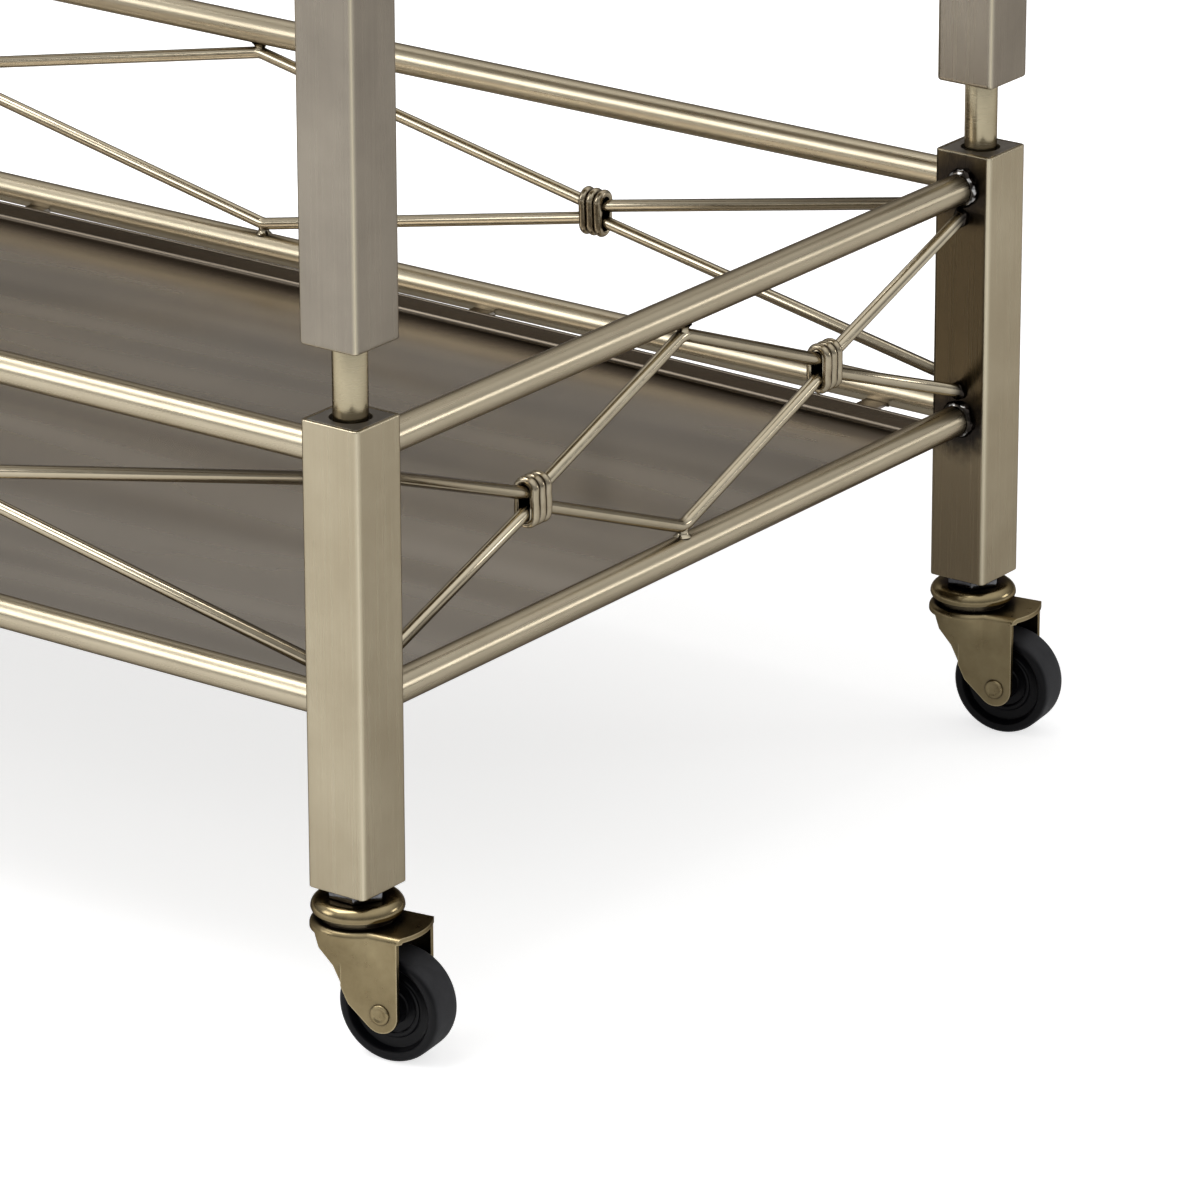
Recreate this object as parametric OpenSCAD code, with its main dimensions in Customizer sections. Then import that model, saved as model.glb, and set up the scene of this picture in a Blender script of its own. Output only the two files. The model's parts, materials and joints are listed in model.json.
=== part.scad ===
// Two-tier bar cart: square tube posts, round rails, bent rod lattices, sheet trays and swivel casters.
// The origin is on the floor at the middle of the cart. X runs along the long side and Y to the back.

/* [Posts] */
// Width of the square post tube
post_w = 25; // [22:0.5:30]
// Wall of the post tube
post_wall = 1.5; // [1:0.1:1.8]
// Outside corner radius of the post tube
post_corner_r = 2; // [2:0.1:3]
// Distance between the post axes along the long side
frame_l = 704; // [560:1:860]
// Distance between the post axes along the short side
frame_d = 388; // [330:1:480]
// Length of the posts of one tier frame
tier_h = 172.5; // [155:0.5:200]
// Length of the plain posts between the two tiers
mid_h = 370; // [280:1:450]

/* [Rails] */
// Diameter of the round rails
rail_d = 12; // [10:0.5:14]
// Height of a bottom rail's axis above the foot of its posts
rail_low = 66; // [50:0.5:75]
// Drop of a top rail's axis below the head of its posts
rail_drop = 13.5; // [11:0.5:20]
// Leg of the weld bead round a rail's end
weld_leg = 1.4; // [0.8:0.1:2]

/* [Lattice] */
// Diameter of the bent rods
rod_d = 5; // [4:0.1:6]
// Distance from a rail's axis to a rod's axis at the post
rod_end_off = 11.5; // [10.5:0.1:14]
// Distance from a rail's axis to a rod's axis at the middle bend
rod_bend_off = 10; // [9.8:0.1:13]
// Radius of a rod's bends, to its axis
bend_r = 9; // [6:0.5:12]
// Gap between the two rods where they meet
kiss_gap = 0.1; // [0.05:0.05:0.4]
// How much a rod swells in its bends, on the radius
bend_swell = 0.03; // [0.03:0.01:0.06]
// Diameter of the short pin between a middle bend and its rail
pin_d = 4.4; // [3:0.1:5]

/* [Collars] */
// Ribs on each collar
collar_ribs = 3; // [2:1:4]
// Width of one rib along the rods
rib_w = 3.4; // [3:0.1:3.6]
// Thickness of a rib over the rods
rib_t = 2.7; // [2.2:0.1:3]
// Distance from one rib to the next
rib_pitch = 3.7; // [3.7:0.1:4]
// Thickness of the band under the ribs
band_t = 0.9; // [0.6:0.1:1.4]

/* [Trays] */
// Thickness of the tray sheet
tray_t = 1.2; // [0.8:0.1:2]
// Height of the turned-up hem above the sheet
hem_h = 7.3; // [4:0.1:10]
// Drop of the hem's edge below the rail axis
hem_drop = 3; // [2:0.1:3]
// Gap between the tray's corners and the posts
tray_gap = 0.5; // [0.3:0.1:1.5]
// How far the long hems bow out at their middle
tray_bow = 5.2; // [2:0.1:6]
// Width of a tab that joins the tray to a rail
tab_w = 10; // [6:0.5:16]
// Thickness of a tab
tab_t = 1.6; // [1:0.1:2]
// Distance from a post's axis to the tab nearest to it
tab_inset = 43; // [30:1:60]

/* [Spacers] */
// Height of the gap between stacked posts
spacer_gap = 27; // [15:0.5:40]
// Outside diameter of a spacer sleeve
sleeve_d = 12.5; // [11:0.5:14]
// Diameter of the stud through a sleeve
stud_d = 8; // [6:0.5:8.5]
// Length of the plug in each post end
plug_h = 15; // [12:0.5:25]
// Diameter of the recess in a plug round its sleeve
recess_d = 15; // [14.5:0.5:18]
// Depth of that recess, where the sleeve seats
recess_h = 2.5; // [1:0.5:5]

/* [Casters] */
// Diameter of a wheel
wheel_d = 40; // [34:0.5:46]
// Width of a wheel's tread
wheel_w = 15.8; // [12:0.1:18]
// Height of the fork's crown above the wheel
crown_room = 10; // [7:0.5:14]
// Distance from the swivel axis back to the wheel axle
trail = 15.8; // [12:0.1:18]
// Turn of each caster away from the long axis, in degrees
caster_yaw = 8; // [0:1:30]
// Outside width of the fork
fork_w = 26.2; // [24:0.1:30]
// Radius of the fork's crown
crown_r = 17.1; // [16.5:0.1:19]
// Thickness of the fork's sheet
fork_t = 1.8; // [1.2:0.1:2]
// Outside radius of the fork's pressed edge
fork_edge_r = 2.4; // [2.1:0.1:3]
// Depth of the crown's skirt at the front
skirt_h = 3.4; // [3.2:0.1:5]
// Distance from the swivel axis forward to the top of the side plates' front edge
plate_front = 9.4; // [6:0.1:10]
// Distance from the swivel axis back to the knee in that front edge
knee_back = 3; // [0:0.1:5]
// Height of that knee above the axle
knee_rise = 1.8; // [1:0.1:4]
// Height over which the round crown runs out into the flat side plates
crown_runout = 13; // [8:0.5:16]
// How far the crown's rear edge bows out at its middle
rear_bow = 3.8; // [2:0.1:5]
// Radius of the fork's end round the axle
fork_end_r = 7; // [5.5:0.1:8]
// Diameter of the axle
axle_d = 5; // [4:0.1:6]
// Diameter of the axle's rivet heads
axle_head_d = 7.6; // [6.8:0.1:9]
// Height of the axle's rivet heads
axle_head_h = 0.9; // [0.6:0.1:1.6]
// Diameter of the swivel stem
stem_d = 10; // [8:0.5:11]
// Length of the stem inside the post
stem_in = 14; // [8:0.5:15]
// Diameter of the stem's head under the crown
stem_head_d = 16; // [14:0.5:18]
// Height of the stem's head
stem_head_h = 2; // [1.5:0.1:3]
// Width of the stem nut across its flats
nut_af = 19; // [17:0.5:21]
// Height of the stem nut
nut_h = 4; // [3:0.5:8]

/* [Bearing] */
// Diameter of a bearing ball
ball_d = 4; // [3:0.5:5]
// Balls in each caster
ball_count = 8; // [6:1:10]
// Radius of the ring of balls
ball_ring_r = 11; // [10.5:0.1:11.5]
// Height of the race ring on the crown
race_h = 2.9; // [2:0.1:3.5]
// Depth of the race's groove
groove_h = 0.8; // [0.5:0.1:1]
// Outside radius of the bearing cup
cup_r = 16.7; // [16.3:0.1:18]
// Wall of the bearing cup
cup_t = 1.5; // [1:0.1:2]
// Radius of the cup's rounded shoulder
cup_shoulder_r = 4; // [3:0.1:4]
// Height of the cup's straight rim under its shoulder
cup_rim_h = 1; // [0.5:0.1:1.5]

/* [Fits] */
// Running clearance of the axle and the stem, on the radius
run_fit = 0.05; // [0.02:0.01:0.1]
// Clearance of pieces that slide into each other when assembled
slip_fit = 0.05; // [0.02:0.01:0.2]
// Clearance of the parts of a caster that turn past each other
turn_gap = 0.3; // [0.2:0.05:0.6]

/* [Hidden] */

$fn = 64;
left = -1;
right = 1;
front = -1;
back = 1;
SIDES = [-1, 1];
BRASS = [0.66, 0.6, 0.45];
DARK_BRASS = [0.55, 0.46, 0.28];
SHEET = [0.48, 0.45, 0.42];
ZINC = [0.75, 0.76, 0.78];
BLACK = [0.09, 0.09, 0.1];
// Overlap that keeps a cutting body clear of the face it cuts
cut = 1;

// Heights of the caster's parts, from the floor up
axle_z = wheel_d / 2;
crown_z = wheel_d + crown_room;
ball_z = crown_z + race_h - groove_h + turn_gap + ball_d / 2;
cup_ceiling_z = ball_z + ball_d / 2 + slip_fit;
cup_top_z = cup_ceiling_z + cup_t;
foot_z = cup_top_z + nut_h;

// Heights of the frame
lower_z = foot_z;
middle_z = lower_z + tier_h + spacer_gap;
upper_z = middle_z + mid_h + spacer_gap;

// Clear length between the faces of the posts, along each side
span_l = frame_l - post_w;
span_d = frame_d - post_w;
rail_span = tier_h - rail_low - rail_drop;
rod_r = rod_d / 2;
kiss_z = rod_r + bend_swell + kiss_gap / 2;
end_rise = rail_span / 2 - rod_end_off;
bend_rise = rail_span / 2 - rod_bend_off;
rod_overrun = rod_d;
// Length of a straight arm that runs on inside the bend beside it
bend_lap = 0.3;

// Inside height of a collar: both rods, and how far they part at the collar's ends
collar_len = rib_w + (collar_ribs - 1) * rib_pitch;
steepest = (bend_rise - kiss_z) / (span_d / 4);
collar_in_r = rod_r + bend_swell + slip_fit;
collar_straight = 2 * kiss_z + collar_len * steepest;

tray_l = span_l - 2 * tray_gap;
tray_d = span_d - 2 * tray_gap;

fork_in_w = fork_w - 2 * fork_t;
fork_rear = trail + fork_end_r;
rear_bow_r = (fork_w * fork_w / 4 + rear_bow * rear_bow) / (2 * rear_bow);
hub_w = fork_in_w - 2 * turn_gap;

// Square with rounded corners, made of straight sides and true arcs
module rounded_square(w, r) {
    square([w, w - 2 * r], center = true);
    square([w - 2 * r, w], center = true);
    for (sx = SIDES, sy = SIDES)
        translate([sx * (w / 2 - r), sy * (w / 2 - r)])
            circle(r = r);
}

// One piece at the corner on side sx and side sy of the frame
module at_corner(sx, sy) {
    translate([sx * frame_l / 2, sy * frame_d / 2, 0])
        children();
}

module at_all_corners() {
    for (sx = SIDES, sy = SIDES)
        at_corner(sx, sy)
            children();
}

// Turns a piece that lies along X onto a long side of the frame
module on_long_side(sy) {
    translate([0, sy * frame_d / 2, 0])
        children();
}

// Turns a piece that lies along X onto a short side of the frame
module on_short_side(sx) {
    translate([sx * frame_l / 2, 0, 0])
        rotate([0, 0, 90])
            children();
}

module post(z, h) {
    color(BRASS)
        translate([0, 0, z])
            linear_extrude(h)
                difference() {
                    rounded_square(post_w, post_corner_r);
                    rounded_square(post_w - 2 * post_wall, post_corner_r - post_wall);
                }
}

// Fillet of a weld round a rail's end, with the rail along Z and the post's face at zero
module weld_bead() {
    rotate_extrude()
        difference() {
            square([rail_d / 2 + weld_leg, weld_leg]);
            translate([rail_d / 2 + weld_leg, weld_leg])
                circle(r = weld_leg);
        }
}

module rail(span, z) {
    color(BRASS)
        translate([0, 0, z])
            rotate([0, 90, 0]) {
                cylinder(h = span, d = rail_d, center = true);
                translate([0, 0, -span / 2])
                    weld_bead();
                translate([0, 0, span / 2])
                    mirror([0, 0, 1])
                        weld_bead();
            }
}

module long_rail(sy, z) {
    on_long_side(sy)
        rail(span_l, z);
}

module short_rail(sx, z) {
    on_short_side(sx)
        rail(span_d, z);
}

function unit(v) = v / norm(v);
function cross2(u, v) = u[0] * v[1] - u[1] * v[0];
function turn(u, v) = acos(u * v);
function bend_leg(p, q, r) = bend_r * tan(turn(unit(q - p), unit(r - q)) / 2);

// Straight round bar between two points of the XZ plane
module bar(p, q) {
    translate([p[0], 0, p[1]])
        rotate([0, atan2(q[0] - p[0], q[1] - p[1]), 0])
            cylinder(h = norm(q - p), d = rod_d);
}

// Round bar bent from the line p-q into the line q-r
module bend(p, q, r) {
    u = unit(q - p);
    v = unit(r - q);
    side = sign(cross2(u, v));
    inward = side * [-u[1], u[0]];
    centre = q - bend_leg(p, q, r) * u + bend_r * inward;
    start = atan2(-inward[1], -inward[0]);
    sweep = turn(u, v);
    translate([centre[0], 0, centre[1]])
        rotate([90, 0, 0])
            rotate([0, 0, side > 0 ? start : start - sweep])
                rotate_extrude(angle = sweep)
                    translate([bend_r, 0])
                        circle(r = rod_r + bend_swell);
}

// Point on the line from p to q, at distance s from p
function along(p, q, s) = p + s * unit(q - p);

// Height that a bend's apex is cut short by, for arms that rise by the given angle
function apex_cut(a) = bend_r * (1 / cos(a) - 1);

// The upper of the two rods of one panel, about the panel's middle height, bent five times into a W
module upper_rod(span) {
    half = span / 2;
    knot = half / 2;
    arm = atan2(bend_rise - kiss_z, knot);
    knot_z = kiss_z - apex_cut(arm);
    top_z = bend_rise + apex_cut(arm);
    end_slope = (end_rise - knot_z) / (half - knot);
    end_z = end_rise + rod_overrun * end_slope;
    points = [[-half - rod_overrun, end_z], [-knot, knot_z], [0, top_z],
        [knot, knot_z], [half + rod_overrun, end_z]];
    last = len(points) - 1;
    legs = [for (i = [0:last]) i == 0 || i == last ? 0
        : bend_leg(points[i - 1], points[i], points[i + 1]) - bend_lap];
    intersection() {
        union() {
            for (i = [0:last - 1])
                bar(along(points[i], points[i + 1], legs[i]),
                    along(points[i + 1], points[i], legs[i + 1]));
            for (i = [1:last - 1])
                bend(points[i - 1], points[i], points[i + 1]);
            middle_pin();
        }
        cube([span, 2 * rod_d, 2 * rail_span], center = true);
    }
}

// Short pin welded between the middle bend and the rail above it
module middle_pin() {
    difference() {
        translate([0, 0, bend_rise])
            cylinder(h = rod_bend_off, d = pin_d);
        translate([0, 0, rail_span / 2])
            rotate([0, 90, 0])
                cylinder(h = 2 * pin_d, d = rail_d + 2 * slip_fit, center = true);
    }
}

// The two bent rods that fill one side of a tier between its rails
module lattice(span, z) {
    color(BRASS)
        translate([0, 0, z + rail_low + rail_span / 2]) {
            upper_rod(span);
            mirror([0, 0, 1])
                upper_rod(span);
        }
}

// Half-round ribs on a thin band, seen in section, with the rods' side at zero
module rib_section() {
    translate([0, -collar_len / 2 + rib_w / 4])
        square([band_t, collar_len - rib_w / 2]);
    intersection() {
        for (i = [0:collar_ribs - 1])
            translate([rib_t - rib_w / 2, i * rib_pitch - collar_len / 2 + rib_w / 2])
                circle(d = rib_w);
        translate([0, -collar_len])
            square([rib_w, 2 * collar_len]);
    }
}

// Ribbed collar round both rods of a panel, with its axis along X
module collar() {
    rotate([0, 90, 0])
        for (end = SIDES) {
            translate([end * collar_straight / 2, 0, 0])
                rotate([0, 0, -end * 90])
                    rotate_extrude(angle = 180)
                        translate([collar_in_r, 0])
                            rib_section();
            mirror([0, end < 0 ? 1 : 0, 0])
                translate([-collar_straight / 2, collar_in_r, 0])
                    rotate([90, 0, 90])
                        linear_extrude(collar_straight)
                            rib_section();
        }
}

// All eight collars of one tier
module collars(z) {
    color(BRASS)
        translate([0, 0, z + rail_low + rail_span / 2]) {
            for (sy = SIDES, end = SIDES)
                on_long_side(sy)
                    translate([end * span_l / 4, 0, 0])
                        collar();
            for (sx = SIDES, end = SIDES)
                on_short_side(sx)
                    translate([end * span_d / 4, 0, 0])
                        collar();
        }
}

// Radius of the arc that bows a long hem out by tray_bow at its middle
function bow_r() = (tray_l * tray_l / 4 + tray_bow * tray_bow) / (2 * tray_bow);

// Plan of the tray, drawn in from its outside by the given amount
module tray_plan(inset) {
    reach = tray_d / 2 + tray_bow - bow_r();
    intersection() {
        square([tray_l - 2 * inset, 2 * tray_d], center = true);
        translate([0, reach])
            circle(r = bow_r() - inset, $fn = 512);
        translate([0, -reach])
            circle(r = bow_r() - inset, $fn = 512);
    }
}

// Tab from the tray to the rail beside it, on the side of positive Y
module tab(half_frame, half_tray) {
    difference() {
        translate([-tab_w / 2, half_tray - tray_t / 2, -hem_drop - tab_t])
            cube([tab_w, half_frame - half_tray + tray_t / 2, tab_t]);
        translate([0, half_frame, 0])
            rotate([0, 90, 0])
                cylinder(h = 2 * tab_w, d = rail_d + 2 * slip_fit, center = true);
    }
}

// Half depth of the tray at x, which grows towards the middle of the bowed hem
function half_tray_at(x) = tray_d / 2 + tray_bow - bow_r() + sqrt(bow_r() * bow_r() - x * x);

// Sheet tray with a turned-up hem, hung on its rails by tabs
module tray(z) {
    floor_z = -hem_drop - hem_h;
    edge_tab = frame_l / 2 - tab_inset;
    color(SHEET)
        translate([0, 0, z + rail_low]) {
            translate([0, 0, floor_z - tray_t])
                linear_extrude(tray_t)
                    tray_plan(0);
            translate([0, 0, floor_z])
                linear_extrude(hem_h)
                    difference() {
                        tray_plan(0);
                        tray_plan(tray_t);
                    }
            for (sy = SIDES, x = [-edge_tab, -frame_l / 6, frame_l / 6, edge_tab])
                rotate([0, 0, sy > 0 ? 0 : 180])
                    translate([x, 0, 0])
                        tab(frame_d / 2, half_tray_at(abs(x) + tab_w / 2));
            for (sx = SIDES, y = [-1, 1] * (frame_d / 2 - tab_inset))
                rotate([0, 0, -sx * 90])
                    translate([y, 0, 0])
                        tab(frame_l / 2, tray_l / 2);
        }
}

// Plug that closes a post's end: blind, or bored for a stud or stem, with a seat for a sleeve
module plug(bore_d, seat_d) {
    linear_extrude(plug_h)
        difference() {
            rounded_square(post_w - 2 * post_wall - 2 * slip_fit, post_corner_r - post_wall);
            if (bore_d > 0)
                circle(d = bore_d + 2 * slip_fit);
        }
}

module seated_plug() {
    difference() {
        plug(stud_d);
        translate([0, 0, plug_h - recess_h])
            cylinder(h = recess_h + cut, d = recess_d);
    }
}

module at_head(z) {
    translate([0, 0, z - plug_h])
        children();
}

module at_foot(z) {
    translate([0, 0, z + plug_h])
        mirror([0, 0, 1])
            children();
}

module post_plugs() {
    color(BRASS)
        at_all_corners() {
            at_foot(lower_z)
                plug(stem_d);
            at_head(lower_z + tier_h)
                seated_plug();
            at_foot(middle_z)
                seated_plug();
            at_head(middle_z + mid_h)
                seated_plug();
            at_foot(upper_z)
                seated_plug();
            at_head(upper_z + tier_h)
                plug(0);
        }
}

// Foot of each of the two rows of spacers
SPACER_FEET = [lower_z + tier_h, middle_z + mid_h];

module spacer_sleeves() {
    color(BRASS)
        at_all_corners()
            for (z = SPACER_FEET)
                translate([0, 0, z - recess_h])
                    difference() {
                        cylinder(h = spacer_gap + 2 * recess_h, d = sleeve_d);
                        translate([0, 0, -cut])
                            cylinder(h = spacer_gap + 2 * recess_h + 2 * cut, d = stud_d + 2 * slip_fit);
                    }
}

module joining_studs() {
    color(ZINC)
        at_all_corners()
            for (z = SPACER_FEET)
                translate([0, 0, z - plug_h])
                    cylinder(h = spacer_gap + 2 * plug_h, d = stud_d);
}

// Stem that each caster turns on, with its head under the crown
module caster_stems() {
    head_z = crown_z - fork_t - turn_gap - stem_head_h;
    color(ZINC)
        at_all_corners() {
            translate([0, 0, head_z])
                cylinder(h = stem_head_h, d = stem_head_d);
            translate([0, 0, head_z])
                cylinder(h = foot_z + stem_in - head_z, d = stem_d);
        }
}

module stem_nuts() {
    color(ZINC)
        at_all_corners()
            translate([0, 0, cup_top_z])
                difference() {
                    cylinder(h = nut_h, d = nut_af / cos(30), $fn = 6);
                    translate([0, 0, -cut])
                        cylinder(h = nut_h + 2 * cut, d = stem_d + 2 * slip_fit);
                }
}

// Pressed upper half of the swivel bearing
module bearing_cups() {
    shoulder_x = cup_r - cup_shoulder_r;
    rim_lap = 0.3;
    color(DARK_BRASS)
        at_all_corners()
            rotate_extrude()
                difference() {
                    union() {
                        translate([0, cup_ceiling_z])
                            square([shoulder_x, cup_t]);
                        translate([shoulder_x, cup_top_z - cup_shoulder_r])
                            intersection() {
                                difference() {
                                    circle(r = cup_shoulder_r);
                                    circle(r = cup_shoulder_r - cup_t);
                                }
                                square(cup_shoulder_r);
                            }
                        translate([cup_r - cup_t, cup_top_z - cup_shoulder_r - cup_rim_h])
                            square([cup_t - slip_fit, cup_rim_h + rim_lap]);
                    }
                    square([stem_d / 2 + slip_fit, cup_top_z + cut]);
                }
}

module bearing_balls() {
    color(ZINC)
        at_all_corners()
            for (i = [0:ball_count - 1])
                rotate([0, 0, i * 360 / ball_count])
                    translate([ball_ring_r, 0, ball_z])
                        sphere(d = ball_d, $fn = 24);
}

// Direction in which a caster trails, the same way out on both ends of the cart
function yaw(sx) = sx > 0 ? caster_yaw : 180 - caster_yaw;

module at_caster(sx, sy) {
    at_corner(sx, sy)
        rotate([0, 0, yaw(sx)])
            children();
}

// Section of a pressed edge: a half width, a height and the radius of its upper corner
module pressed_section(half_w, h, r) {
    square([half_w, h - r]);
    square([half_w - r, h]);
    translate([half_w - r, h - r])
        circle(r = r);
}

// Front view of the run-out that leads from the round crown in to the flat side plates
module runout_section(inset) {
    low = [fork_w / 2 - inset - fork_t / 2, crown_z - fork_edge_r - crown_runout];
    high = [crown_r - inset + cut, crown_z - fork_edge_r];
    polygon([[-low[0], 0], [low[0], 0], low, high, [high[0], crown_z + cut],
        [-high[0], crown_z + cut], [-high[0], high[1]], [-low[0], low[1]]]);
}

// Crown and side plates as one solid block, drawn in from their outside by the given amount
module fork_block(inset) {
    r = fork_edge_r - inset;
    h = crown_z - inset;
    intersection() {
        rotate_extrude()
            pressed_section(crown_r - inset, h, r);
        rotate([90, 0, 90])
            linear_extrude(2 * crown_r + 2 * cut, center = true)
                runout_section(inset);
    }
    rotate([90, 0, 90])
        linear_extrude(fork_rear + rear_bow + cut + inset)
            for (side = [0, 1])
                mirror([side, 0])
                    pressed_section(fork_w / 2 - inset, h, r);
}

// Side view of the fork: skirt, front edge with its knee, round end, upright rear edge and overhanging crown
module fork_side() {
    skirt_z = crown_z - skirt_h;
    axle = [trail, axle_z];
    knee = [knee_back, axle_z + knee_rise];
    slant = atan2(axle[1] - knee[1], axle[0] - knee[0]) - asin(fork_end_r / norm(axle - knee));
    reach = sqrt(pow(norm(axle - knee), 2) - pow(fork_end_r, 2));
    touch = knee + reach * [cos(slant), sin(slant)];
    polygon([[-crown_r - cut, skirt_z], [-plate_front, skirt_z], knee, touch, axle, axle + [fork_end_r, 0],
        [fork_rear, crown_z - fork_edge_r], [fork_rear + rear_bow + cut, crown_z - fork_edge_r],
        [fork_rear + rear_bow + cut, crown_z + cut], [-crown_r - cut, crown_z + cut]]);
    translate(axle)
        circle(r = fork_end_r);
}

// Plan that bounds the crown's bowed rear edge
module rear_plan() {
    translate([fork_rear + rear_bow - rear_bow_r + turn_gap, 0])
        circle(r = rear_bow_r);
    translate([-crown_r - cut, -crown_r - cut])
        square([crown_r + cut + trail, 2 * crown_r + 2 * cut]);
}

// Lower race of the swivel bearing, raised on the crown
module race() {
    rotate_extrude()
        difference() {
            translate([ball_ring_r - ball_d / 2 - race_edge, crown_z - fork_t / 2])
                square([ball_d + 2 * race_edge, race_h + fork_t / 2]);
            translate([ball_ring_r, ball_z])
                circle(d = ball_d + 2 * turn_gap);
        }
}

race_edge = 0.5;

module fork(sx, sy) {
    color(DARK_BRASS)
        at_caster(sx, sy)
            difference() {
                union() {
                    intersection() {
                        difference() {
                            fork_block(0);
                            fork_block(fork_t);
                        }
                        rotate([90, 0, 0])
                            linear_extrude(2 * crown_r + 2 * cut, center = true)
                                fork_side();
                        linear_extrude(crown_z + 2 * cut)
                            rear_plan();
                    }
                    race();
                }
                cylinder(h = crown_z + race_h + cut, r = stem_d / 2 + run_fit);
                translate([trail, 0, axle_z])
                    rotate([90, 0, 0])
                        cylinder(h = fork_w + 2 * cut, d = axle_d + 2 * slip_fit, center = true);
            }
}

// Axle riveted through the fork
module axle(sx, sy) {
    color(DARK_BRASS)
        at_caster(sx, sy)
            translate([trail, 0, axle_z])
                rotate([90, 0, 0]) {
                    cylinder(h = fork_w, d = axle_d, center = true);
                    for (end = [0, 1])
                        mirror([0, 0, end])
                            translate([0, 0, fork_w / 2])
                                rotate_extrude() {
                                    square([axle_head_d / 2 - axle_head_h, axle_head_h]);
                                    intersection() {
                                        translate([axle_head_d / 2 - axle_head_h, 0])
                                            circle(r = axle_head_h);
                                        square([axle_head_d / 2, axle_head_h]);
                                    }
                                }
                }
}

rim_t = 4;
rim_edge_r = 1.6;
web_w = 8.4;
ring_r = 10.5;
ring_t = 1.6;
ring_w = 10.6;
hub_r = 6;

// Moulded wheel: rounded tread, sunk web with a raised ring, and a hub that fills the fork
module wheel_section() {
    rim_in_r = wheel_d / 2 - rim_t;
    difference() {
        union() {
            translate([rim_in_r, -wheel_w / 2])
                square([rim_t - rim_edge_r, wheel_w]);
            translate([rim_in_r, -wheel_w / 2 + rim_edge_r])
                square([rim_t, wheel_w - 2 * rim_edge_r]);
            for (side = SIDES)
                translate([wheel_d / 2 - rim_edge_r, side * (wheel_w / 2 - rim_edge_r)])
                    circle(r = rim_edge_r);
            translate([0, -web_w / 2])
                square([rim_in_r, web_w]);
            translate([ring_r - ring_t / 2, -ring_w / 2])
                square([ring_t, ring_w]);
            translate([0, -hub_w / 2])
                square([hub_r, hub_w]);
        }
        translate([0, -hub_w])
            square([axle_d / 2 + run_fit, 2 * hub_w]);
    }
}

module wheel(sx, sy) {
    color(BLACK)
        at_caster(sx, sy)
            translate([trail, 0, axle_z])
                rotate([90, 0, 0])
                    rotate_extrude($fn = 96)
                        wheel_section();
}

lower_top_z = lower_z + tier_h - rail_drop;
upper_top_z = upper_z + tier_h - rail_drop;

at_corner(left, front) post(lower_z, tier_h);  // lower_post_front_left
at_corner(right, front) post(lower_z, tier_h);  // lower_post_front_right
at_corner(left, back) post(lower_z, tier_h);  // lower_post_back_left
at_corner(right, back) post(lower_z, tier_h);  // lower_post_back_right
at_corner(left, front) post(middle_z, mid_h);  // middle_post_front_left
at_corner(right, front) post(middle_z, mid_h);  // middle_post_front_right
at_corner(left, back) post(middle_z, mid_h);  // middle_post_back_left
at_corner(right, back) post(middle_z, mid_h);  // middle_post_back_right
at_corner(left, front) post(upper_z, tier_h);  // upper_post_front_left
at_corner(right, front) post(upper_z, tier_h);  // upper_post_front_right
at_corner(left, back) post(upper_z, tier_h);  // upper_post_back_left
at_corner(right, back) post(upper_z, tier_h);  // upper_post_back_right
long_rail(front, lower_top_z);  // lower_top_rail_front
long_rail(back, lower_top_z);  // lower_top_rail_back
short_rail(left, lower_top_z);  // lower_top_rail_left
short_rail(right, lower_top_z);  // lower_top_rail_right
long_rail(front, lower_z + rail_low);  // lower_bottom_rail_front
long_rail(back, lower_z + rail_low);  // lower_bottom_rail_back
short_rail(left, lower_z + rail_low);  // lower_bottom_rail_left
short_rail(right, lower_z + rail_low);  // lower_bottom_rail_right
long_rail(front, upper_top_z);  // upper_top_rail_front
long_rail(back, upper_top_z);  // upper_top_rail_back
short_rail(left, upper_top_z);  // upper_top_rail_left
short_rail(right, upper_top_z);  // upper_top_rail_right
long_rail(front, upper_z + rail_low);  // upper_bottom_rail_front
long_rail(back, upper_z + rail_low);  // upper_bottom_rail_back
short_rail(left, upper_z + rail_low);  // upper_bottom_rail_left
short_rail(right, upper_z + rail_low);  // upper_bottom_rail_right
on_long_side(front) lattice(span_l, lower_z);  // lower_lattice_front
on_long_side(back) lattice(span_l, lower_z);  // lower_lattice_back
on_short_side(left) lattice(span_d, lower_z);  // lower_lattice_left
on_short_side(right) lattice(span_d, lower_z);  // lower_lattice_right
on_long_side(front) lattice(span_l, upper_z);  // upper_lattice_front
on_long_side(back) lattice(span_l, upper_z);  // upper_lattice_back
on_short_side(left) lattice(span_d, upper_z);  // upper_lattice_left
on_short_side(right) lattice(span_d, upper_z);  // upper_lattice_right
collars(lower_z);  // lower_collars
collars(upper_z);  // upper_collars
tray(lower_z);  // lower_tray
tray(upper_z);  // upper_tray
spacer_sleeves();
joining_studs();
post_plugs();
caster_stems();
stem_nuts();
bearing_cups();
bearing_balls();
fork(left, front);  // fork_front_left
fork(right, front);  // fork_front_right
fork(left, back);  // fork_back_left
fork(right, back);  // fork_back_right
axle(left, front);  // axle_front_left
axle(right, front);  // axle_front_right
axle(left, back);  // axle_back_left
axle(right, back);  // axle_back_right
wheel(left, front);  // wheel_front_left
wheel(right, front);  // wheel_front_right
wheel(left, back);  // wheel_back_left
wheel(right, back);  // wheel_back_right
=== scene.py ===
import json
import math
import bmesh
import bpy
from mathutils import Matrix, Vector, noise


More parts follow.
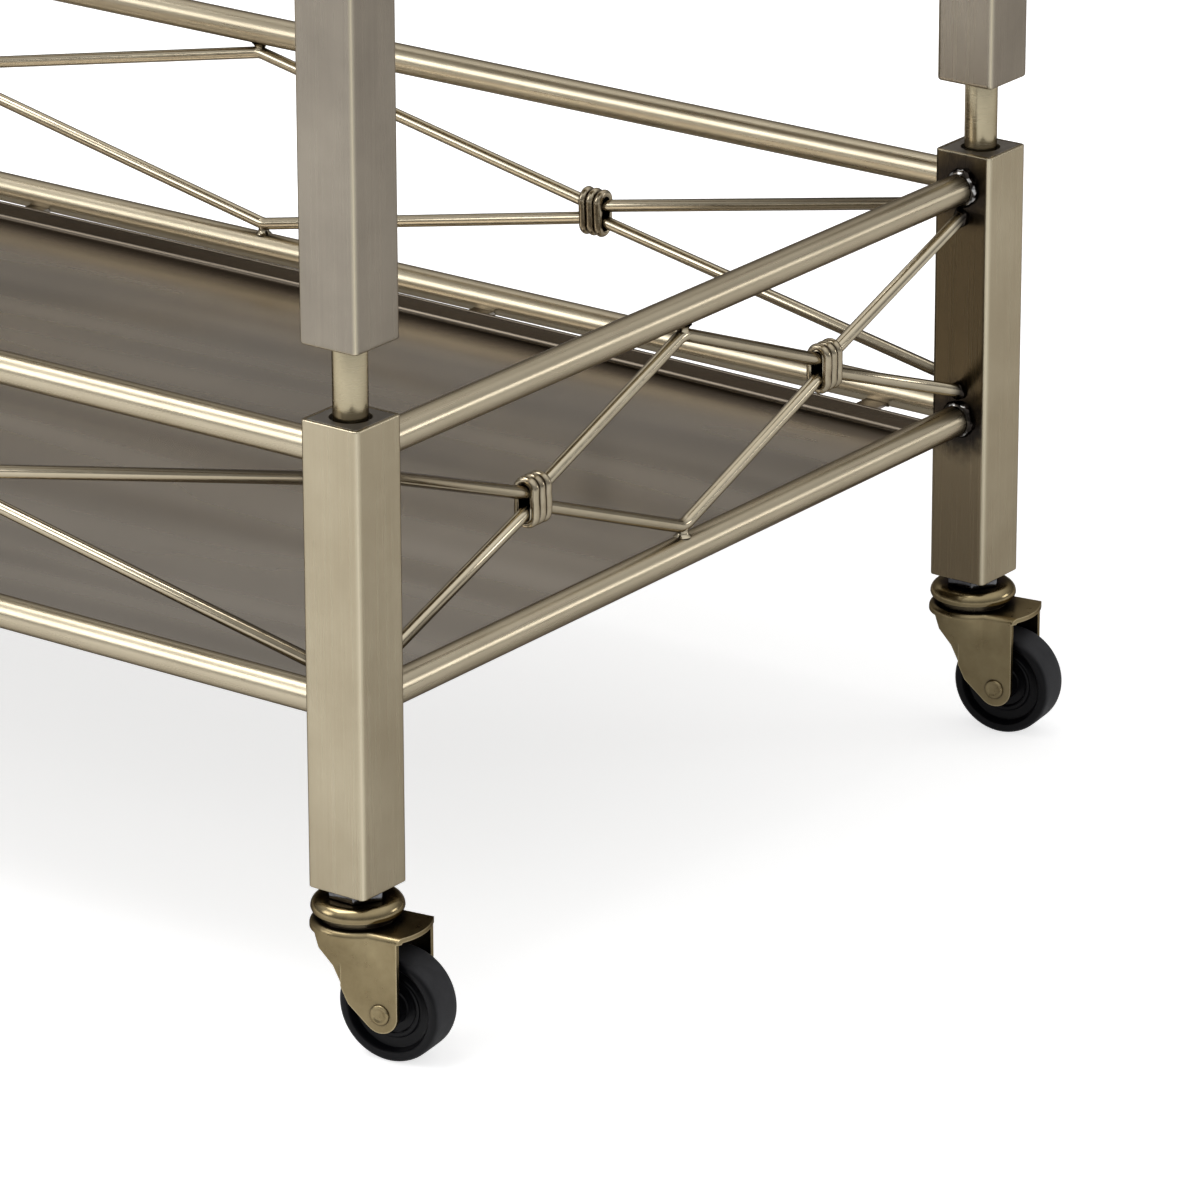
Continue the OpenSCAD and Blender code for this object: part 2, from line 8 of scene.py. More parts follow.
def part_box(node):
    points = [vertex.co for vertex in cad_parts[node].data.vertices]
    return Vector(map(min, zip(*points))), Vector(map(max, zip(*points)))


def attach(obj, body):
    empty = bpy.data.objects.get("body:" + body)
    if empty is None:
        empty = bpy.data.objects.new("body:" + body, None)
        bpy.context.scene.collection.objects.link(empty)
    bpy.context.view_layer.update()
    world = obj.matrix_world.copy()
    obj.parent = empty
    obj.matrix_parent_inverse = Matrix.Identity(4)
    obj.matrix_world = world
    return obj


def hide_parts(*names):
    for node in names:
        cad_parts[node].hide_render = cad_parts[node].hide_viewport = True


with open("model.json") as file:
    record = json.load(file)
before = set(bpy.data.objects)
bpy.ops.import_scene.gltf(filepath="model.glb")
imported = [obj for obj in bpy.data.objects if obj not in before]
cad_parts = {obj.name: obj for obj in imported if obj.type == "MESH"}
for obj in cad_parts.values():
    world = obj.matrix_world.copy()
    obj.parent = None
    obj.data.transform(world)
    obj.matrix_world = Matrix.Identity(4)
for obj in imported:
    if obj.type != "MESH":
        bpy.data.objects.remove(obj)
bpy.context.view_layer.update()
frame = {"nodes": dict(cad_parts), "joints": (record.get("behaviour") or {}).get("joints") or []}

# Posts
# Each post is a length of square steel tube with rounded corners, plated in antique brass and brushed along
# its length. The cut ends are lightly rounded, so a thin bright rim shows round the plug that closes them.
MM = 0.001
CORNERS = {"front_left": (-1, -1), "front_right": (1, -1), "back_left": (-1, 1), "back_right": (1, 1)}
TIERS = ("lower", "upper")
POST_WALL = 1.5
POST_CORNER = 2.0
POST_LIP = 0.4
ARC_STEPS = 8
SUPPORT = 0.5


def new_group(name, inputs, outputs):
    """An empty shader group with named sockets, and its input and output sockets."""
    tree = bpy.data.node_groups.new(name, "ShaderNodeTree")
    for label, kind, value in inputs:
        socket = tree.interface.new_socket(label, in_out="INPUT", socket_type="NodeSocket" + kind)
        if value is not None:
            socket.default_value = value
    for label, kind in outputs:
        tree.interface.new_socket(label, in_out="OUTPUT", socket_type="NodeSocket" + kind)
    return tree, tree.nodes.new("NodeGroupInput").outputs, tree.nodes.new("NodeGroupOutput").inputs


def add(tree, kind, inputs=None, **settings):
    """A shader node with its settings made and its sockets set or linked."""
    made = tree.nodes.new("ShaderNode" + kind)
    for key, value in settings.items():
        setattr(made, key, value)
    for key, value in (inputs or {}).items():
        if isinstance(value, bpy.types.NodeSocket):
            tree.links.new(value, made.inputs[key])
        else:
            made.inputs[key].default_value = value
    return made


def use_group(tree, group, inputs):
    """The outputs of a group placed in a material with its own values."""
    return add(tree, "Group", inputs, node_tree=group).outputs


def maths(tree, operation, a, b=0.0, clamp=False):
    return add(tree, "Math", {0: a, 1: b}, operation=operation, use_clamp=clamp).outputs[0]


def vector_maths(tree, operation, a, b=(0.0, 0.0, 0.0), output=0):
    return add(tree, "VectorMath", {0: a, 1: b}, operation=operation).outputs[output]


def remap(tree, value, start, end, low=0.0, high=1.0, smooth=False):
    """A value carried from one range into another and clamped at both ends."""
    return add(tree, "MapRange", {0: value, 1: start, 2: end, 3: low, 4: high},
               interpolation_type="SMOOTHSTEP" if smooth else "LINEAR").outputs[0]


def blend_colour(tree, amount, low, high):
    """Two colours mixed. The Mix node keeps its colour sockets at 6 and 7 and its mixed colour at 2."""
    return add(tree, "Mix", {0: amount, 6: low, 7: high}, data_type="RGBA").outputs[2]


# Fine streaks left by the brush, over slow clouds in the plating
plating, given, result = new_group(
    "brushed_plating",
    [("Vector", "Vector", None), ("Stretch", "Vector", (1, 1, 1)), ("Cloud Scale", "Float", 20.0),
     ("Streaks", "Float", 0.5), ("Streak Detail", "Float", 3.0), ("Clouds", "Float", 0.5),
     ("Bright", "Color", (1, 1, 1, 1)), ("Deep", "Color", (0, 0, 0, 1)),
     ("Least Roughness", "Float", 0.25), ("Most Roughness", "Float", 0.4)],
    [("Color", "Color"), ("Roughness", "Float"), ("Height", "Float")])
stretched = vector_maths(plating, "MULTIPLY", given["Vector"], given["Stretch"])
streak = add(plating, "TexNoise", {"Vector": stretched, "Scale": 1.0, "Detail": given["Streak Detail"],
                                   "Roughness": 0.65}).outputs[0]
cloud = add(plating, "TexNoise", {"Vector": given["Vector"], "Scale": given["Cloud Scale"], "Detail": 4.0,
                                  "Roughness": 0.55}).outputs[0]
streak_part = maths(plating, "MULTIPLY", maths(plating, "SUBTRACT", streak, 0.5), given["Streaks"])
cloud_part = maths(plating, "MULTIPLY", maths(plating, "SUBTRACT", cloud, 0.5), given["Clouds"])
tone = maths(plating, "ADD", maths(plating, "ADD", streak_part, cloud_part), 0.5, clamp=True)
plating.links.new(blend_colour(plating, tone, given["Deep"], given["Bright"]), result["Color"])
rough = remap(plating, streak, 0.3, 0.7, given["Least Roughness"], given["Most Roughness"])
plating.links.new(rough, result["Roughness"])
plating.links.new(streak, result["Height"])

# Bright metal where the plating is rubbed thin along an edge
MASK_SAMPLES = 6
edge_wear, given, result = new_group(
    "edge_wear", [("Radius", "Float", 0.0006), ("Strength", "Float", 2.0)], [("Mask", "Float")])
rounded = add(edge_wear, "Bevel", {"Radius": given["Radius"]}, samples=MASK_SAMPLES).outputs[0]
true_normal = add(edge_wear, "NewGeometry").outputs["Normal"]
alike = vector_maths(edge_wear, "DOT_PRODUCT", rounded, true_normal, output="Value")
turned_away = maths(edge_wear, "SUBTRACT", 1.0, alike, clamp=True)
edge_wear.links.new(maths(edge_wear, "MULTIPLY", turned_away, given["Strength"], clamp=True), result["Mask"])

# Painted highlight along the corners of square stock, where the surface turns away from all three axes
corner_highlight, given, result = new_group("corner_highlight", [("Strength", "Float", 3.4)], [("Mask", "Float")])
turned = vector_maths(corner_highlight, "ABSOLUTE", add(corner_highlight, "NewGeometry").outputs["Normal"])
turned = add(corner_highlight, "SeparateXYZ", {0: turned}).outputs
flattest = maths(corner_highlight, "MAXIMUM", maths(corner_highlight, "MAXIMUM", turned[0], turned[1]), turned[2])
off_axis = maths(corner_highlight, "SUBTRACT", 1.0, flattest)
corner_highlight.links.new(maths(corner_highlight, "MULTIPLY", off_axis, given["Strength"], clamp=True), result["Mask"])

# The faces that look into the cart, which take painted shade and the joints' stain
inward_face, given, result = new_group("inward_face", [("Vector", "Vector", None)], [("Mask", "Float")])
side_of_cart = vector_maths(inward_face, "SIGN", given["Vector"])
inwards = vector_maths(inward_face, "MULTIPLY", side_of_cart, (-1.0, -1.0, 0.0))
true_normal = add(inward_face, "NewGeometry").outputs["Normal"]
turned_in = vector_maths(inward_face, "DOT_PRODUCT", true_normal, inwards, output="Value")
inward_face.links.new(remap(inward_face, turned_in, 0.5, 0.95), result["Mask"])

# Painted shade in the corners that see little of the room, by ambient occlusion
recess_shade, given, result = new_group(
    "recess_shade", [("Reach", "Float", 0.003), ("Hidden", "Float", 0.3), ("Open", "Float", 0.8)],
    [("Mask", "Float")])
in_sight = add(recess_shade, "AmbientOcclusion", {"Distance": given["Reach"]}, samples=MASK_SAMPLES).outputs
recess_shade.links.new(remap(recess_shade, in_sight["AO"], given["Open"], given["Hidden"]), result["Mask"])

# Heat and flux stain with painted shade on a post round each rail's joint. The cart is symmetric, so one
# quarter serves for all.
LEVELS = ("top", "bottom")
RAIL_HEIGHTS = sorted(round(sum(corner.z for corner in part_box(f"{tier}_{level}_rail_front")), 6) / 2
                      for tier in TIERS for level in LEVELS)
weld_stain_and_shade, given, result = new_group(
    "weld_stain_and_shade", [("Vector", "Vector", None), ("Joint X", "Float", 0.0), ("Joint Y", "Float", 0.0),
                   ("Inner", "Float", 0.008), ("Outer", "Float", 0.019), ("Wander", "Float", 0.008)],
    [("Mask", "Float")])
quarter = vector_maths(weld_stain_and_shade, "ABSOLUTE", given["Vector"])
nearest = None
for height in RAIL_HEIGHTS:
    joint = add(weld_stain_and_shade, "CombineXYZ", {0: given["Joint X"], 1: given["Joint Y"], 2: height}).outputs[0]
    away = vector_maths(weld_stain_and_shade, "DISTANCE", quarter, joint, output="Value")
    nearest = away if nearest is None else maths(weld_stain_and_shade, "MINIMUM", nearest, away)
patchy = add(weld_stain_and_shade, "TexNoise", {"Vector": given["Vector"], "Scale": 260.0, "Detail": 3.0}).outputs[0]
wander = maths(weld_stain_and_shade, "MULTIPLY", maths(weld_stain_and_shade, "SUBTRACT", patchy, 0.5), given["Wander"])
ragged = maths(weld_stain_and_shade, "ADD", nearest, wander)
weld_stain_and_shade.links.new(remap(weld_stain_and_shade, ragged, given["Outer"], given["Inner"], smooth=True), result["Mask"])

BRASS_BRIGHT = (0.84, 0.77, 0.59, 1)
BRASS_DEEP = (0.62, 0.55, 0.40, 1)
# Painted shade for the inner faces, a painted highlight for the post corners, and a stain that also paints
# shade
INWARD_SHADE = (0.17, 0.14, 0.09, 1)
INWARD_HALF_SHADE = (0.42, 0.345, 0.23, 1)
PAINTED_CORNER_LIGHT = (1.0, 0.93, 0.72, 1)
STAIN_AND_SHADE = (0.05, 0.044, 0.04, 1)
# The plating is sealed under a thin brown lacquer, which darkens where it is seen at a slant
LACQUER = (0.72, 0.695, 0.665, 1)
LACQUER_IOR = 1.05
RIM = (0.35, 0.30, 0.26, 1)
BRUSH_DEPTH = 0.0004
TIER_STEP = RAIL_HEIGHTS[2] - RAIL_HEIGHTS[0]
BETWEEN_TIERS = (RAIL_HEIGHTS[1] + RAIL_HEIGHTS[2]) / 2


def plated_metal(name, stretch, bright, deep, streaks=0.9, streak_detail=3.0, clouds=0.9, cloud_scale=22.0,
                 smooth=0.26, dull=0.40, bump=0.05, wear=0.0, wear_radius=0.0006, corners=0.0, worn_and_highlight=PAINTED_CORNER_LIGHT,
                 inward_shade=False, shade_in_recesses=None, joints=(), lacquer=LACQUER, rim=RIM):
    """Brushed plating over steel, with rubbed edges, stains, painted shade and painted highlights as asked
    for.
    """
    material = bpy.data.materials.new(name)
    material.use_nodes = True
    tree = material.node_tree
    shader = tree.nodes["Principled BSDF"]
    shader.inputs["Metallic"].default_value = 1.0
    shader.inputs["Specular Tint"].default_value = rim
    if lacquer:
        shader.inputs["Coat Weight"].default_value = 1.0
        shader.inputs["Coat Roughness"].default_value = dull
        shader.inputs["Coat IOR"].default_value = LACQUER_IOR
        shader.inputs["Coat Tint"].default_value = lacquer
    where = add(tree, "TexCoord").outputs["Object"]
    finish = use_group(tree, plating, {
        "Vector": where, "Stretch": stretch, "Streaks": streaks, "Streak Detail": streak_detail,
        "Clouds": clouds, "Cloud Scale": cloud_scale, "Bright": bright, "Deep": deep,
        "Least Roughness": smooth, "Most Roughness": dull})
    colour = finish["Color"]
    if inward_shade:
        # Painted shade on the inner faces, full above a tier's bottom rails and half below them
        height = add(tree, "SeparateXYZ", {0: where}).outputs[2]
        upper = maths(tree, "GREATER_THAN", height, BETWEEN_TIERS)
        in_tier = maths(tree, "SUBTRACT", height, maths(tree, "MULTIPLY", upper, TIER_STEP))
        hidden = remap(tree, in_tier, RAIL_HEIGHTS[0] - 0.02, RAIL_HEIGHTS[0] + 0.005, smooth=True)
        mask = use_group(tree, inward_face, {"Vector": where})["Mask"]
        colour = blend_colour(tree, mask, colour, blend_colour(tree, hidden, INWARD_HALF_SHADE, INWARD_SHADE))
    if wear:
        mask = use_group(tree, edge_wear, {"Radius": wear_radius, "Strength": wear})["Mask"]
        colour = blend_colour(tree, mask, colour, worn_and_highlight)
    # Painted highlight along the corners of square stock
    if corners:
        mask = use_group(tree, corner_highlight, {"Strength": corners})["Mask"]
        colour = blend_colour(tree, mask, colour, worn_and_highlight)
    # Painted shade in the recesses, by ambient occlusion
    if shade_in_recesses:
        mask = use_group(tree, recess_shade, dict(zip(("Reach", "Hidden", "Open"), shade_in_recesses)))["Mask"]
        colour = blend_colour(tree, mask, colour, STAIN_AND_SHADE)
    # Heat stain round the joints on the inner faces, spread wide enough to paint the shade there too
    if joints:
        inside = use_group(tree, inward_face, {"Vector": where})["Mask"]
    for joint_x, joint_y in joints:
        mask = use_group(tree, weld_stain_and_shade, {"Vector": where, "Joint X": joint_x, "Joint Y": joint_y})["Mask"]
        colour = blend_colour(tree, maths(tree, "MULTIPLY", mask, inside), colour, STAIN_AND_SHADE)
    tree.links.new(colour, shader.inputs["Base Color"])
    tree.links.new(finish["Roughness"], shader.inputs["Roughness"])
    bumps = add(tree, "Bump", {"Height": finish["Height"], "Strength": bump, "Distance": BRUSH_DEPTH})
    tree.links.new(bumps.outputs[0], shader.inputs["Normal"])
    return material


def make_piece(name, verts, faces, material, body, nodes, sharp=38.0, place=None):
    """One closed mesh in millimetres that stands for CAD nodes and rides on a body."""
    mesh = bpy.data.meshes.new(name)
    mesh.from_pydata([Vector(v) * MM for v in verts], [], faces)
    work = bmesh.new()
    work.from_mesh(mesh)
    bmesh.ops.recalc_face_normals(work, faces=work.faces)
    work.to_mesh(mesh)
    work.free()
    mesh.shade_smooth()
    mesh.set_sharp_from_angle(angle=math.radians(sharp))
    mesh.materials.append(material)
    made = bpy.data.objects.new(name, mesh)
    bpy.context.scene.collection.objects.link(made)
    if place is not None:
        made.matrix_world = place
    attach(made, body)
    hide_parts(*nodes)
    return made


def skin(rings, closed=False, start=0):
    """Points and faces over a row of rings, closed into a loop or capped at both ends."""
    count = len(rings[0])
    verts = [point for ring in rings for point in ring]
    faces = []
    for i in range(len(rings) if closed else len(rings) - 1):
        a = start + i * count
        b = start + (i + 1) % len(rings) * count
        faces += [(a + k, a + (k + 1) % count, b + (k + 1) % count, b + k) for k in range(count)]
    if not closed:
        faces.append(tuple(start + k for k in range(count)))
        faces.append(tuple(start + (len(rings) - 1) * count + k for k in range(count)))
    return verts, faces


def square_ring(centre, z, width, corner):
    """A square with rounded corners, with close points beside each corner so that the flats shade flat."""
    points = []
    reach = width / 2 - corner
    for quarter_turn in range(4):
        turn = 90 * quarter_turn
        mid = math.radians(turn + 45)
        hub = Vector((math.copysign(reach, math.cos(mid)), math.copysign(reach, math.sin(mid))))
        for step in range(-1, ARC_STEPS + 2):
            angle = math.radians(turn + 90 * min(max(step, 0), ARC_STEPS) / ARC_STEPS)
            out = Vector((math.cos(angle), math.sin(angle)))
            along = Vector((-out.y, out.x)) * (SUPPORT if step > ARC_STEPS else -SUPPORT if step < 0 else 0)
            spot = hub + out * corner + along
            points.append((centre[0] + spot.x, centre[1] + spot.y, z))
    return points


def box_mm(node):
    low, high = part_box(node)
    return low / MM, high / MM


post_low, post_high = box_mm("lower_post_front_left")
post_width = post_high.x - post_low.x
post_low, post_high = box_mm("lower_post_front_right")
POST_X = (post_low.x + post_high.x) / 2
POST_Y = -(post_low.y + post_high.y) / 2
face_x = (POST_X - post_width / 2) * MM
face_y = (POST_Y - post_width / 2) * MM
weld_places = ((face_x, POST_Y * MM), (POST_X * MM, face_y))
UPRIGHT_STREAKS = (800, 800, 9)
# The posts carry a painted highlight on their corners, and painted shade on their inner faces and round the
# joints
post_brass = plated_metal("post_brass", UPRIGHT_STREAKS, BRASS_BRIGHT, BRASS_DEEP, streaks=0.7, clouds=1.7,
                          smooth=0.20, dull=0.30, bump=0.03, corners=3.4, inward_shade=True, joints=weld_places)
# The posts between the tiers are painted darker and greyer, as painted shade under the upper tray
shaded_middle_post_brass = plated_metal("shaded_middle_post_brass", UPRIGHT_STREAKS, (0.58, 0.54, 0.465, 1),
                                (0.38, 0.35, 0.305, 1), streaks=0.7, clouds=1.6, smooth=0.20, dull=0.30,
                                bump=0.03, corners=3.4)
ROUNDED_END = [(1 - math.sin(math.radians(a)), 1 - math.cos(math.radians(a))) for a in (0, 30, 60, 90)]
FOOT_LIPS = {"lower": 0.4, "middle": 1.2, "upper": 0.8}
for row, lip in FOOT_LIPS.items():
    for corner_name in CORNERS:
        node = f"{row}_post_{corner_name}"
        low, high = box_mm(node)
        centre = ((low.x + high.x) / 2, (low.y + high.y) / 2)
        ends = [(low.z + rise * lip, lip * shrink) for shrink, rise in ROUNDED_END]
        ends += [(low.z + lip + SUPPORT, 0), (high.z - POST_LIP - SUPPORT, 0)]
        ends += [(high.z - rise * POST_LIP, POST_LIP * shrink) for shrink, rise in reversed(ROUNDED_END)]
        rings = [square_ring(centre, z, post_width - 2 * shrink, POST_CORNER - shrink) for z, shrink in ends]
        rings += [square_ring(centre, z, post_width - 2 * POST_WALL, POST_CORNER - POST_WALL)
                  for z in (high.z, low.z)]
        verts, faces = skin(rings, closed=True)
        finish = shaded_middle_post_brass if row == "middle" else post_brass
        make_piece(f"{row}_post_tube_{corner_name}", verts, faces, finish, "frame", [node])

# Post plugs
# Turned and milled aluminium plugs driven flush into the tube ends and sunk round the stud for the sleeve.
# Their outer edges are broken and their faces are left plain and slightly dull.
PLUG_EDGE = 0.25


def softened(node, material, body, edge, sharp=35.0):
    """A copy of a CAD node's solid with its facets merged and its edges broken."""
    solid = bmesh.new()
    solid.from_mesh(frame["nodes"][node].data)
    bmesh.ops.remove_doubles(solid, verts=solid.verts, dist=2e-6)
    bmesh.ops.dissolve_limit(solid, angle_limit=math.radians(0.3), verts=solid.verts, edges=solid.edges)
    solid.verts.index_update()
    verts = [vert.co / MM for vert in solid.verts]
    faces = [tuple(vert.index for vert in face.verts) for face in solid.faces]
    solid.free()
    made = make_piece(node + "_piece", verts, faces, material, body, [node], sharp)
    if edge:
        broken = made.modifiers.new("broken_edge", "BEVEL")
        broken.width = edge * MM
        broken.segments = 2
        broken.limit_method = "ANGLE"
        broken.angle_limit = math.radians(sharp)
        broken.harden_normals = True
    return made


# The plug's edges carry a painted highlight in a lighter grey
plug_metal = plated_metal("plug_metal", (260, 260, 260), (0.34, 0.32, 0.29, 1), (0.18, 0.17, 0.155, 1),
                          smooth=0.36, dull=0.5, corners=2.0, worn_and_highlight=(0.5, 0.46, 0.38, 1), lacquer=None)
softened("post_plugs", plug_metal, "frame", PLUG_EDGE)

# Rails
# Round steel tube cut square between the posts and welded all round, with the bead dressed and plated over.
# The plating is polished along the rail, so it carries long highlights, and it stays dark in the weld.
RAIL_RADIUS = 6.0
RAIL_SIDES = 56
RAIL_BRIGHT = (0.97, 0.90, 0.71, 1)
RAIL_DEEP = (0.76, 0.685, 0.52, 1)
BEAD_RISE = 1.7
BEAD_LENGTH = 2.5
BEAD_STEPS = (0.0, 0.25, 0.6, 1.0, 1.45, 1.9, 2.2, 2.5, 2.9)
BEAD_STAIN = (4.2, 2.2)
BARE_METAL_AND_GLINT = (0.75, 0.77, 0.80, 1)


def lumps(angle, spread, seed):
    """Smooth noise once round a bar."""
    return noise.noise(Vector((spread * math.cos(angle), spread * math.sin(angle), seed)))


def bead_rise(distance, angle, seed):
    """How far a weld bead stands out of the bar, with the ripple and the lumps of a hand weld."""
    if distance >= BEAD_LENGTH:
        return 0.0
    arch = math.sqrt(1 - (distance / BEAD_LENGTH) ** 2)
    ripple = 0.10 * math.sin(17 * angle + 2.5 * distance + seed)
    return BEAD_RISE * arch * (0.78 + 0.6 * lumps(angle, 1.7, seed) + ripple)


def end_stain_and_shade(tree, along, start, full):
    """Mask of stain and painted shade at a bar's welded ends, in mm from the post where it starts and is
    full.
    """
    end = POST_X - post_width / 2 if along == "x" else POST_Y - post_width / 2
    parts = add(tree, "SeparateXYZ", {0: add(tree, "TexCoord").outputs["Object"]})
    reach = maths(tree, "ABSOLUTE", parts.outputs[0 if along == "x" else 1])
    return remap(tree, reach, (end - start) * MM, (end - full) * MM, smooth=True)


def lay_over(tree, mask, colour):
    """A colour laid over the material's base colour where the mask is 1."""
    base = tree.nodes["Principled BSDF"].inputs["Base Color"]
    tree.links.new(blend_colour(tree, mask, base.links[0].from_socket, colour), base)


long_streaks = {"x": (16, 900, 900), "y": (900, 16, 900)}
rail_finish = {}
for along in ("x", "y"):
    finish = plated_metal(f"rail_brass_{along}", long_streaks[along], RAIL_BRIGHT, RAIL_DEEP,
                          streaks=0.5, clouds=0.9, smooth=0.25, dull=0.34, cloud_scale=30, bump=0.01)
    # The bead is stained black with bright spots, bare metal and painted glints, and the stain fades a few mm
    # from the post
    tree = finish.node_tree
    stain = end_stain_and_shade(tree, along, *BEAD_STAIN)
    where = add(tree, "TexCoord").outputs["Object"]
    grain = add(tree, "TexNoise", {"Vector": where, "Scale": 330.0, "Detail": 1.0}).outputs[0]
    lay_over(tree, stain, blend_colour(tree, remap(tree, grain, 0.56, 0.66), STAIN_AND_SHADE, BARE_METAL_AND_GLINT))
    # It is glassier than the brushed rail beside it
    roughness = tree.nodes["Principled BSDF"].inputs["Roughness"]
    smoother = maths(tree, "SUBTRACT", 1.0, maths(tree, "MULTIPLY", stain, 0.6))
    tree.links.new(maths(tree, "MULTIPLY", roughness.links[0].from_socket, smoother), roughness)
    rail_finish[along] = finish


def straight_rail(name, node, along, seed):
    """One rail on its CAD node's axis, with a weld bead at each end."""
    low, high = box_mm(node)
    middle = (low + high) / 2
    directions = (Vector((1, 0, 0)), Vector((0, 1, 0)))
    axis, across = directions if along == "x" else directions[::-1]
    half = (high - low).dot(axis) / 2
    rings = []
    stations = [(-half + step, step) for step in BEAD_STEPS]
    stations += [(half - step, step) for step in reversed(BEAD_STEPS)]
    for spot, distance in stations:
        ring = []
        for k in range(RAIL_SIDES):
            angle = 2 * math.pi * k / RAIL_SIDES
            radius = RAIL_RADIUS + bead_rise(distance, angle, seed + (7 if spot > 0 else 0))
            out = across * math.cos(angle) + Vector((0, 0, 1)) * math.sin(angle)
            ring.append(middle + axis * spot + out * radius)
        rings.append(ring)
    verts, faces = skin(rings)
    make_piece(name, verts, faces, rail_finish[along], "frame", [node], sharp=60)


seed = 0
for tier in TIERS:
    for level in LEVELS:
        for side in ("front", "back", "left", "right"):
            seed += 3
            along = "x" if side in ("front", "back") else "y"
            straight_rail(f"{tier}_{level}_round_rail_{side}", f"{tier}_{level}_rail_{side}", along, seed)

# Lattice rods
# Two 5 mm rods per side, each bent cold into a W and tacked to the posts, with a short pin from its middle
# bend to the rail. They lie in one plane and kiss at the two knots. The plating is polished like the rails'.
ROD_RADIUS = 2.5
ROD_SIDES = 28
BEND_RADIUS = 9.0
BEND_STEPS = 10
KISS = 2.58
END_OFF = 11.5
BEND_OFF = 10.0
PIN_RADIUS = 2.2
TACK_RISE = 1.0
TACK_LENGTH = 2.2
TACK_STEPS = (0.0, 0.3, 0.7, 1.2, 1.7, 2.0, 2.3)
TACK_STAIN_AND_SHADE = (10.0, 1.5)
PIN_STEPS = (0.0, 0.2, 0.45, 0.6, 0.75, 0.88, 1.0)


def w_path(span, rise):
    """Corners of the upper rod's axis about the panel's middle. Each bend's apex is where the CAD has it."""
    half = span / 2
    knot = half / 2
    middle = rise / 2 - BEND_OFF
    arm = math.atan2(middle - KISS, knot)
    cut_short = BEND_RADIUS * (1 / math.cos(arm) - 1)
    return [Vector((-half, rise / 2 - END_OFF)), Vector((-knot, KISS - cut_short)),
            Vector((0, middle + cut_short)), Vector((knot, KISS - cut_short)),
            Vector((half, rise / 2 - END_OFF))]


def rounded_path(corners):
    """Points and directions along the path with true arcs at its bends."""
    path = [(corners[0], (corners[1] - corners[0]).normalized())]
    for before, at, after in zip(corners, corners[1:], corners[2:]):
        come = (at - before).normalized()
        go = (after - at).normalized()
        turn = come.angle_signed(go)
        leg = BEND_RADIUS * math.tan(abs(turn) / 2)
        side = -1 if turn > 0 else 1
        inward = Vector((-come.y, come.x)) * side
        hub = at - come * leg + inward * BEND_RADIUS
        for step in range(BEND_STEPS + 1):
            swing = side * abs(turn) * step / BEND_STEPS
            spoke = Matrix.Rotation(swing, 2) @ -inward
            path.append((hub + spoke * BEND_RADIUS, Matrix.Rotation(swing, 2) @ come))
    path.append((corners[-1], (corners[-1] - corners[-2]).normalized()))
    return path


def tack_rise(distance, angle, seed):
    """Lump of a tack weld round the end of a rod."""
    if distance >= TACK_LENGTH:
        return 0.0
    return TACK_RISE * math.sqrt(1 - (distance / TACK_LENGTH) ** 2) * (0.9 + 0.8 * lumps(angle, 1.3, seed))


def bent_rod(span, rise, flip, to_cart, seed):
    """Rings of one W rod, mapped into the cart by to_cart(along, out, up)."""
    path = rounded_path(w_path(span, rise))
    rings = []
    stations = [(*path[0], distance, -1) for distance in TACK_STEPS]
    stations += [(point, direction, None, 0) for point, direction in path[1:-1]]
    stations += [(*path[-1], distance, 1) for distance in reversed(TACK_STEPS)]
    for point, direction, distance, end in stations:
        normal = Vector((-direction.y, direction.x))
        ring = []
        for k in range(ROD_SIDES):
            angle = 2 * math.pi * k / ROD_SIDES
            radius = ROD_RADIUS + (tack_rise(distance, angle, seed + end) if end else 0.0)
            spot = point + normal * radius * math.cos(angle)
            if end:
                # Rings near the post are cut upright, to lie flat on its face
                face = end * (span / 2 - distance)
                spot = spot + direction * ((face - spot.x) / direction.x)
            ring.append(to_cart(spot.x, radius * math.sin(angle), spot.y * flip))
        rings.append(ring)
    return rings


def middle_pin(rise, flip, to_cart, seed):
    """Rings of the short pin between a middle bend and its rail, flared by its welds."""
    foot = rise / 2 - BEND_OFF
    head = rise / 2 - RAIL_RADIUS + 0.25
    rings = []
    for part in PIN_STEPS:
        flare = 1.3 * max(0.0, (part - 0.5) / 0.5) ** 2 + 0.4 * max(0.0, (0.5 - part) / 0.5)
        ring = []
        for k in range(ROD_SIDES):
            angle = 2 * math.pi * k / ROD_SIDES
            radius = PIN_RADIUS * (0.93 + 0.1 * lumps(angle, 1.0, seed + 2 * part)) + flare
            up = foot + (head - foot) * part
            ring.append(to_cart(radius * math.cos(angle), radius * math.sin(angle), up * flip))
        rings.append(ring)
    return rings


# Painted shade darkens the rods near other parts, and darkens their ends at the posts along with the tack
# weld's stain
rod_finish = {}
for along in ("x", "y"):
    rod_finish[along] = plated_metal(f"rod_brass_{along}", long_streaks[along], RAIL_BRIGHT, RAIL_DEEP,
                                     streaks=0.5, clouds=0.8, cloud_scale=45, smooth=0.13, dull=0.21,
                                     bump=0.01, shade_in_recesses=(0.005, 0.35, 0.75))
    tree = rod_finish[along].node_tree
    lay_over(tree, end_stain_and_shade(tree, along, *TACK_STAIN_AND_SHADE), STAIN_AND_SHADE)
PANELS = {"front": (0, -1), "back": (0, 1), "left": (-1, 0), "right": (1, 0)}


